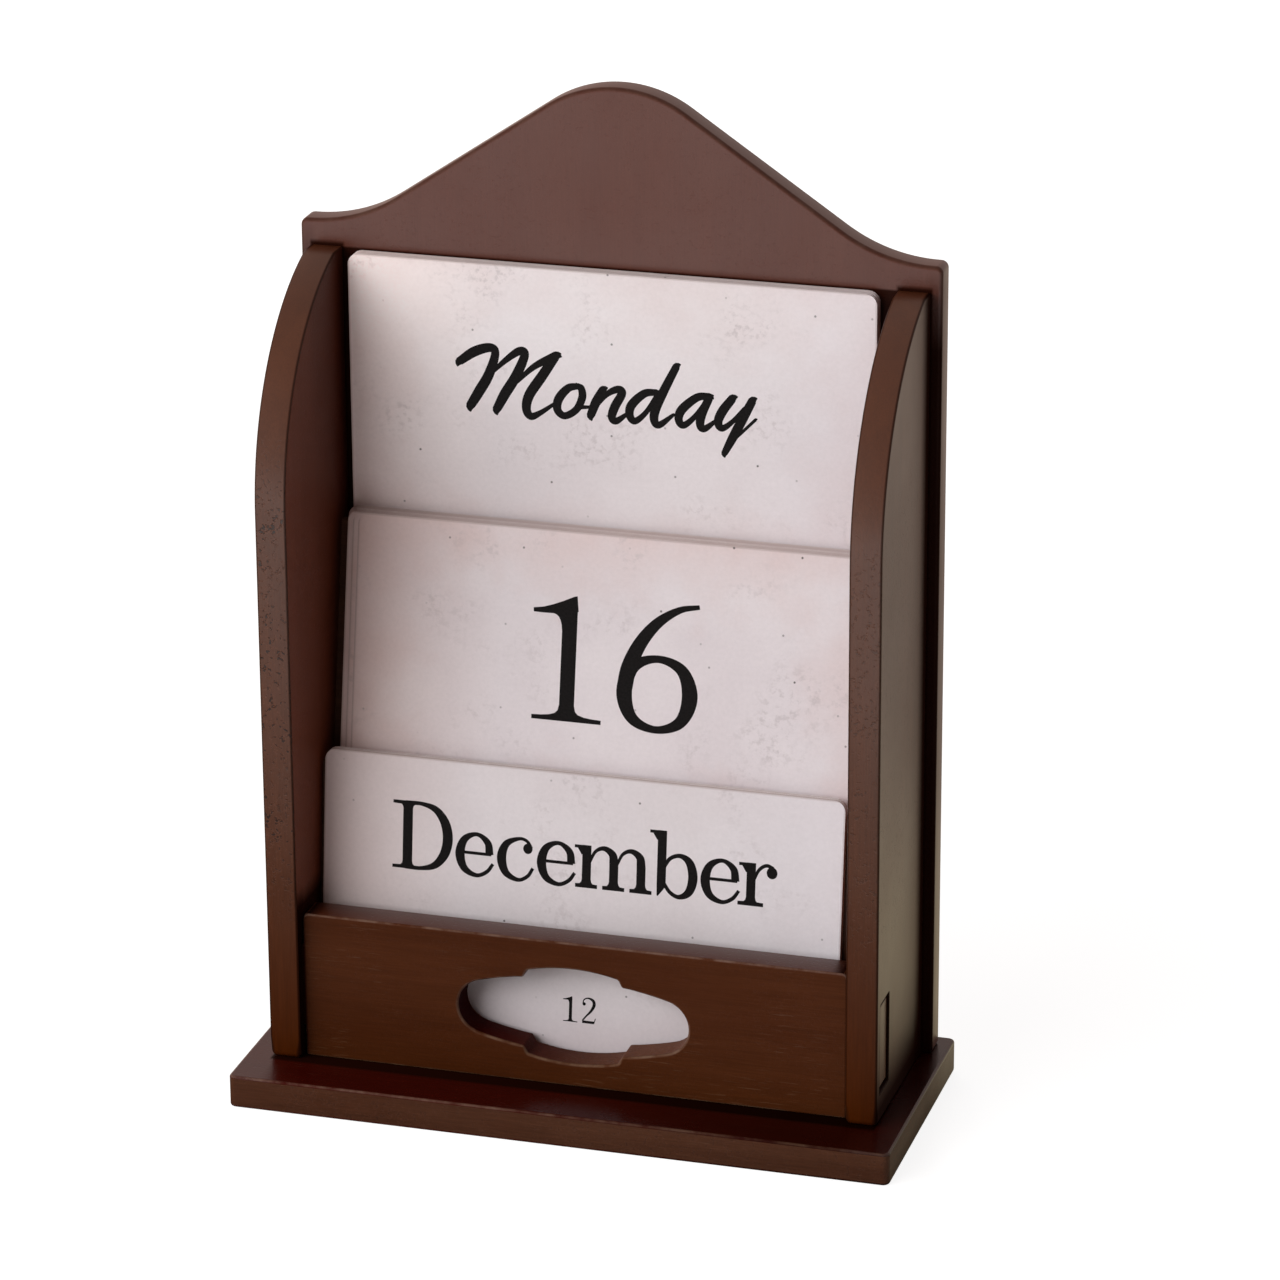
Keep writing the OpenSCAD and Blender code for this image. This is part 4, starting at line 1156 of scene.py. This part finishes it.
brush_roof = brush((0.8, 13.8, 1.8), (2.6, 16.8, 2.2), (9.6, 16.9, 2.9), (18.6, 17.9, 2.0))
brush_leg = brush((12.8, 16.6, 2.6), (9.4, 9.4, 3.0), (6.0, 2.4, 2.9), (3.6, -0.2, 2.3), (1.2, 0.8, 2.0))
weekday_letters = {
    "M": (26.3, [brush((0.6, 12.9, 2.4), (4.8, 15.9, 2.9), (9.0, 17.3, 2.6), (10.4, 15.8, 2.4),
                       (8.6, 10.0, 2.9), (5.8, 5.0, 3.0), (3.4, 1.0, 2.6)),
                 brush((8.3, 9.4, 0.9), (13.2, 14.2, 1.7), (17.0, 17.0, 2.4), (18.4, 16.0, 2.5),
                       (15.9, 10, 2.9), (12.9, 5.0, 3.0), (10.6, 0.6, 2.5)),
                 brush((15.1, 7.4, 0.9), (20.8, 13.0, 1.8), (26.8, 16.5, 2.6)),
                 brush((26.8, 16.5, 2.6), (23.0, 10.6, 2.9), (19.5, 5.2, 2.9), (18.7, 1.4, 2.6),
                       (19.9, -0.5, 2.3), (22.3, 0.5, 1.6), (26.3, 3.4, 1.0))]),
    "T": (14.6, [brush_roof, brush_leg]),
    "W": (21.6, [brush((0.8, 13.2, 1.6), (3.2, 16.6, 2.3), (5.0, 14.6, 2.8), (3.8, 7.6, 3.0),
                       (4.0, 1.2, 2.6)),
                 brush((4.0, 1.2, 2.4), (8.4, 8.0, 1.4), (13.6, 16.6, 2.0)),
                 brush((13.8, 16.6, 2.6), (12.2, 8.0, 3.0), (12.0, 1.2, 2.6)),
                 brush((12.0, 1.2, 2.4), (16.6, 8.0, 1.4), (20.6, 14.6, 1.8), (23.6, 17.2, 2.3))]),
    "F": (14.2, [brush_roof + (1, 0, 0), brush_leg + (-0.6, 0, 0),
                 brush((5.6, 8.4, 1.2), (9.8, 8.6, 1.8), (14.4, 9.8, 2.2))]),
    "S": (13.0, [brush((16.4, 13.6, 2.3), (15.0, 16.6, 2.0), (11.0, 16.7, 2.3), (8.0, 13.6, 2.8),
                       (9.4, 9.6, 2.9), (11.2, 5.4, 3.0), (8.8, 1.2, 2.6), (4.2, -0.2, 2.2),
                       (0.8, 2.0, 2.6))]),
    "a": (10.5, [brush((9.0, 9.0, 2.1), (5.8, 8.5, 2.3), (1.8, 5.0, 2.6), (0.8, 2.2, 2.4), (2.1, 0.6, 2.0),
                       (5.3, 3.4, 1.5), (8.9, 8.6, 1.4)),
                 brush((9.0, 8.6, 2.3), (7.0, 4.0, 2.6), (6.6, 1.0, 2.4), (7.8, 0.2, 2.0),
                       (10.8, 2.6, 1.0))]),
    "d": (13.2, [brush((8.0, 8.9, 1.9), (4.8, 8.3, 2.3), (1.4, 5.0, 2.6), (0.8, 2.2, 2.4), (2.2, 0.6, 2.0),
                       (5.2, 3.2, 1.5), (8.3, 8.2, 1.4)),
                 brush((13.4, 16.3, 2.2), (10.0, 9.4, 2.6), (7.7, 4.0, 2.7), (7.5, 1.0, 2.4), (8.9, 0.2, 2.0),
                       (12.6, 3.2, 1.0))]),
    "e": (8.6, [brush((1.4, 4.2, 1.1), (4.6, 5.2, 1.5), (6.6, 7.6, 1.8), (5.4, 9.0, 1.8), (2.9, 7.6, 2.4),
                      (0.9, 4.0, 2.7), (1.3, 1.2, 2.4), (3.6, 0.2, 2.0), (9.0, 3.0, 1.0))]),
    "h": (10.7, [brush((8.8, 16.3, 2.2), (4.9, 8.8, 2.7), (1.0, 1.0, 2.5)),
                 brush((2.0, 3.0, 1.1), (5.2, 7.0, 1.6), (8.2, 8.8, 2.2), (9.4, 7.9, 2.4), (7.4, 4.0, 2.6),
                       (6.6, 1.2, 2.4), (7.8, 0.2, 2.0), (11.0, 2.6, 1.0))]),
    "i": (5.6, [brush((4.3, 8.8, 2.4), (2.0, 4.2, 2.6), (1.3, 1.2, 2.4), (2.5, 0.2, 2.0), (6.0, 2.8, 1.0)),
                brush((6.3, 13.0, 2.3), (6.9, 14.0, 2.3))]),
    "n": (10.2, [brush((3.8, 8.3, 2.4), (1.9, 4.8, 2.7), (0.5, 1.2, 2.4)),
                 brush((1.4, 3.0, 1.1), (4.6, 7.0, 1.6), (7.7, 8.8, 2.2), (9.0, 7.9, 2.4), (7.0, 4.0, 2.6),
                       (6.2, 1.2, 2.4), (7.4, 0.2, 2.0), (10.6, 2.6, 1.0))]),
    "o": (9.4, [brush((6.6, 8.8, 1.8), (3.8, 8.0, 2.3), (1.2, 4.8, 2.6), (0.9, 1.8, 2.4), (2.9, 0.4, 2.1),
                      (6.0, 2.4, 2.1), (7.6, 5.8, 2.3), (7.4, 8.2, 2.1), (6.6, 8.7, 1.8)),
                brush((6.2, 3.0, 1.4), (9.8, 3.4, 0.9))]),
    "r": (8.4, [brush((2.6, 7.2, 1.6), (3.4, 9.4, 2.2), (4.6, 8.0, 1.8), (7.0, 8.4, 2.2), (6.2, 5.6, 2.5),
                      (4.6, 1.6, 2.4), (5.6, 0.2, 2.0), (9.0, 2.8, 1.0)),
                brush((0.4, 3.0, 1.0), (3.0, 7.0, 1.3))]),
    "s": (8.0, [brush((0.2, 2.8, 1.0), (3.4, 6.2, 1.3), (5.6, 9.3, 2.0), (5.8, 6.2, 2.3), (6.2, 2.8, 2.6),
                      (4.4, 0.4, 2.3), (1.6, 1.2, 2.0)), brush((5.6, 1.2, 1.4), (8.6, 2.8, 0.9))]),
    "t": (7.4, [brush((7.6, 14.6, 2.2), (4.3, 8.2, 2.7), (1.9, 3.4, 2.7), (1.8, 1.0, 2.4), (3.2, 0.2, 2.0),
                      (7.6, 3.0, 1.0)), brush((2.0, 9.8, 1.4), (5.4, 10.1, 1.7), (9.0, 10.9, 1.6))]),
    "u": (10.8, [brush((4.3, 8.8, 2.4), (1.9, 5.2, 2.7), (0.9, 2.2, 2.5), (2.0, 0.5, 2.0), (5.0, 2.8, 1.4),
                       (8.6, 7.6, 1.2)),
                 brush((9.6, 8.8, 2.4), (7.3, 4.2, 2.6), (6.6, 1.2, 2.4), (7.8, 0.2, 2.0),
                       (11.2, 2.6, 1.0))]),
    "y": (10.6, [brush((4.7, 9.0, 2.4), (2.1, 5.4, 2.7), (0.9, 2.4, 2.5), (1.9, 0.7, 2.0), (4.6, 2.6, 1.4),
                       (8.0, 6.6, 1.2)), brush((4.9, -2.4, 0.9), (10.9, 3.8, 0.9)),
                 brush((10.0, 8.8, 2.4), (7.6, 4.0, 2.7), (4.9, -1.4, 2.6), (2.6, -6.0, 1.9))]),
}


def weekday_face(text):
    """The strokes of one side of a weekday card; none on the blank side."""
    if not text:
        return []
    middle_x = -1.2
    baseline = 41.6
    day = word(text, weekday_letters, gap=0.0, weight=0.94)
    return [stroke + (middle_x, baseline, 0) for stroke in day]


front_days = ("Monday", "Tuesday", "Wednesday", "Thursday")
back_days = ("Sunday", "Saturday", "Friday", "")
weekday_paper = paper_stock("weekday_paper", (0.79, 0.73, 0.75), (0.84, 0.785, 0.805), pink=0.5, top_light=1.0,
                            left=(1.2, 1.15, 1.11), right=(1.04, 1.05, 1.07), foot=(1, 1, 1))
for place, (front_day, back_day) in enumerate(zip(front_days, back_days), 1):
    printed_card(f"weekday_card_{place}", f"weekday_sheet_{place}", weekday_paper,
                 weekday_face(front_day), weekday_face(back_day))


# Studio
# A wide pale floor, one large soft lamp low on the front left, a weaker one behind, and an even
# pale surround. To the camera the lit floor is white, and the object's shadow stays on it.
floor_z = -0.0001
floor_half = 4.0
floor_corners = []
for x, y in ((-1, -1), (1, -1), (1, 1), (-1, 1)):
    floor_corners.append((x * floor_half, y * floor_half, floor_z))
floor_mesh = bpy.data.meshes.new("floor")
floor_mesh.from_pydata(floor_corners, [], [(0, 1, 2, 3)])
floor = bpy.data.objects.new("floor", floor_mesh)
bpy.context.scene.collection.objects.link(floor)
floor_paint = bpy.data.materials.new("floor_paint")
floor_paint.use_nodes = True
floor_tree = floor_paint.node_tree
floor_tree.nodes.clear()
floor_grain = add(floor_tree, "ShaderNodeTexNoise", {"Scale": 40.0, "Detail": 2.0})
floor_shade = blend(floor_tree, floor_grain, (0.80, 0.80, 0.80, 1), (0.82, 0.82, 0.82, 1))
plain_floor = add(floor_tree, "ShaderNodeBsdfDiffuse", {"Color": floor_shade})
seen_floor = add(floor_tree, "ShaderNodeBsdfDiffuse", {"Color": (0.42, 0.42, 0.42, 1)})
floor_place = floor_tree.nodes.new("ShaderNodeTexCoord").outputs["Object"]
floor_length = add(floor_tree, "ShaderNodeVectorMath", {0: floor_place}, operation="LENGTH")
floor_glow = steps(floor_tree, floor_length.node.outputs["Value"], 0.6, 1.4, 0.86, 1.0)
seen_glow = add(floor_tree, "ShaderNodeEmission", {"Color": (1, 1, 1, 1), "Strength": floor_glow})
seen_white = add(floor_tree, "ShaderNodeAddShader", {0: seen_floor, 1: seen_glow})
# In reflections the floor glows, which paints reflections into the wood: dim close to the object, and
# brighter ahead, behind and beside it
floor_ray = floor_tree.nodes.new("ShaderNodeLightPath")
floor_sides = add(floor_tree, "ShaderNodeSeparateXYZ", {"Vector": floor_place}).node.outputs
floor_depth = floor_sides["Y"]
ahead = steps(floor_tree, floor_depth, -0.39, -0.24, 1.9, 0.02)
behind = steps(floor_tree, floor_depth, 0.0, 0.08, 0.02, 0.92)
for near, far, change in ((0.14, 0.30, 0.67), (0.42, 0.60, 1.35)):
    change = steps(floor_tree, floor_depth, near, far, 1.0, change)
    behind = add(floor_tree, "ShaderNodeMath", {0: behind, 1: change}, operation="MULTIPLY")
beside = steps(floor_tree, floor_sides["X"], 0.088, 0.094, 0.02, 0.28)
reflection_glow = add(floor_tree, "ShaderNodeMath", {0: ahead, 1: behind}, operation="MAXIMUM")
reflection_glow = add(floor_tree, "ShaderNodeMath", {0: reflection_glow, 1: beside}, operation="MAXIMUM")
warmth = steps(floor_tree, floor_depth, 0.12, 0.30)
warmth = blend(floor_tree, warmth, (1.0, 0.86, 0.58, 1), (1.0, 0.83, 0.68, 1))
warmth = blend(floor_tree, ahead, warmth, (1, 1, 1, 1))
reflection_glow = add(floor_tree, "ShaderNodeEmission", {"Color": warmth, "Strength": reflection_glow})
floor_surface = add(floor_tree, "ShaderNodeMixShader",
                    {0: floor_ray.outputs["Is Glossy Ray"], 1: plain_floor, 2: reflection_glow})
floor_surface = add(floor_tree, "ShaderNodeMixShader",
                    {0: floor_ray.outputs["Is Camera Ray"], 1: floor_surface, 2: seen_white})
from_below = floor_tree.nodes.new("ShaderNodeNewGeometry").outputs["Backfacing"]
see_through = add(floor_tree, "ShaderNodeBsdfTransparent", {})
floor_surface = add(floor_tree, "ShaderNodeMixShader", {0: from_below, 1: floor_surface, 2: see_through})
floor_output = floor_tree.nodes.new("ShaderNodeOutputMaterial")
floor_tree.links.new(floor_surface, floor_output.inputs["Surface"])
floor_mesh.materials.append(floor_paint)


def looking_in(azimuth, elevation):
    """The turn of a lamp or a camera that looks in from an azimuth and an elevation in degrees."""
    level = Matrix.Rotation(math.radians(azimuth), 4, "Z")
    return level @ Matrix.Rotation(math.radians(90 - elevation), 4, "X")


def lamp(name, azimuth, elevation, distance, wide, tall, power):
    """A wide soft lamp that looks at the middle of the object."""
    light = bpy.data.lights.new(name, "AREA")
    light.shape = "RECTANGLE"
    light.size = wide
    light.size_y = tall
    light.energy = power
    holder = bpy.data.objects.new(name, light)
    holder.visible_glossy = False
    bpy.context.scene.collection.objects.link(holder)
    object_middle = Matrix.Translation((0, 0, 0.12))
    away = Matrix.Translation((0, 0, distance))
    holder.matrix_world = object_middle @ looking_in(azimuth, elevation) @ away


lamp("key_lamp", azimuth=-43, elevation=24, distance=2.5, wide=3.2, tall=1.6, power=67)
lamp("back_lamp", azimuth=195, elevation=25, distance=2.5, wide=2.4, tall=1.6, power=22)

world = bpy.data.worlds.new("surround")
bpy.context.scene.world = world
world.use_nodes = True
world_tree = world.node_tree
world_tree.nodes.clear()
world_ray = world_tree.nodes.new("ShaderNodeLightPath")
mirrored_sky = add(world_tree, "ShaderNodeMath", {0: world_ray.outputs["Is Glossy Ray"],
                   1: world_ray.outputs["Is Transmission Ray"]}, operation="MAXIMUM")
sky_strength = steps(world_tree, mirrored_sky, 0, 1, 0.15, 0.6)
lit_sky = add(world_tree, "ShaderNodeBackground", {"Color": (1.0, 0.80, 0.73, 1), "Strength": sky_strength})
white_sky = add(world_tree, "ShaderNodeBackground", {"Color": (1, 1, 1, 1), "Strength": 1.0})
sky = add(world_tree, "ShaderNodeMixShader",
          {0: world_ray.outputs["Is Camera Ray"], 1: lit_sky, 2: white_sky})
world_output = world_tree.nodes.new("ShaderNodeOutputWorld")
world_tree.links.new(sky, world_output.inputs["Surface"])

camera_data = bpy.data.cameras.new("camera")
camera_data.lens = 160.0
camera_data.sensor_width = 36.0
camera_data.clip_end = 30.0
camera = bpy.data.objects.new("camera", camera_data)
bpy.context.scene.collection.objects.link(camera)
camera_place = Matrix.Translation((0.400237, -1.320616, 0.644417))
camera_roll = Matrix.Rotation(math.radians(-0.321), 4, "Z")
camera.matrix_world = camera_place @ looking_in(azimuth=16.327, elevation=20.539) @ camera_roll
bpy.context.scene.camera = camera
bpy.context.scene.view_settings.view_transform = "Standard"
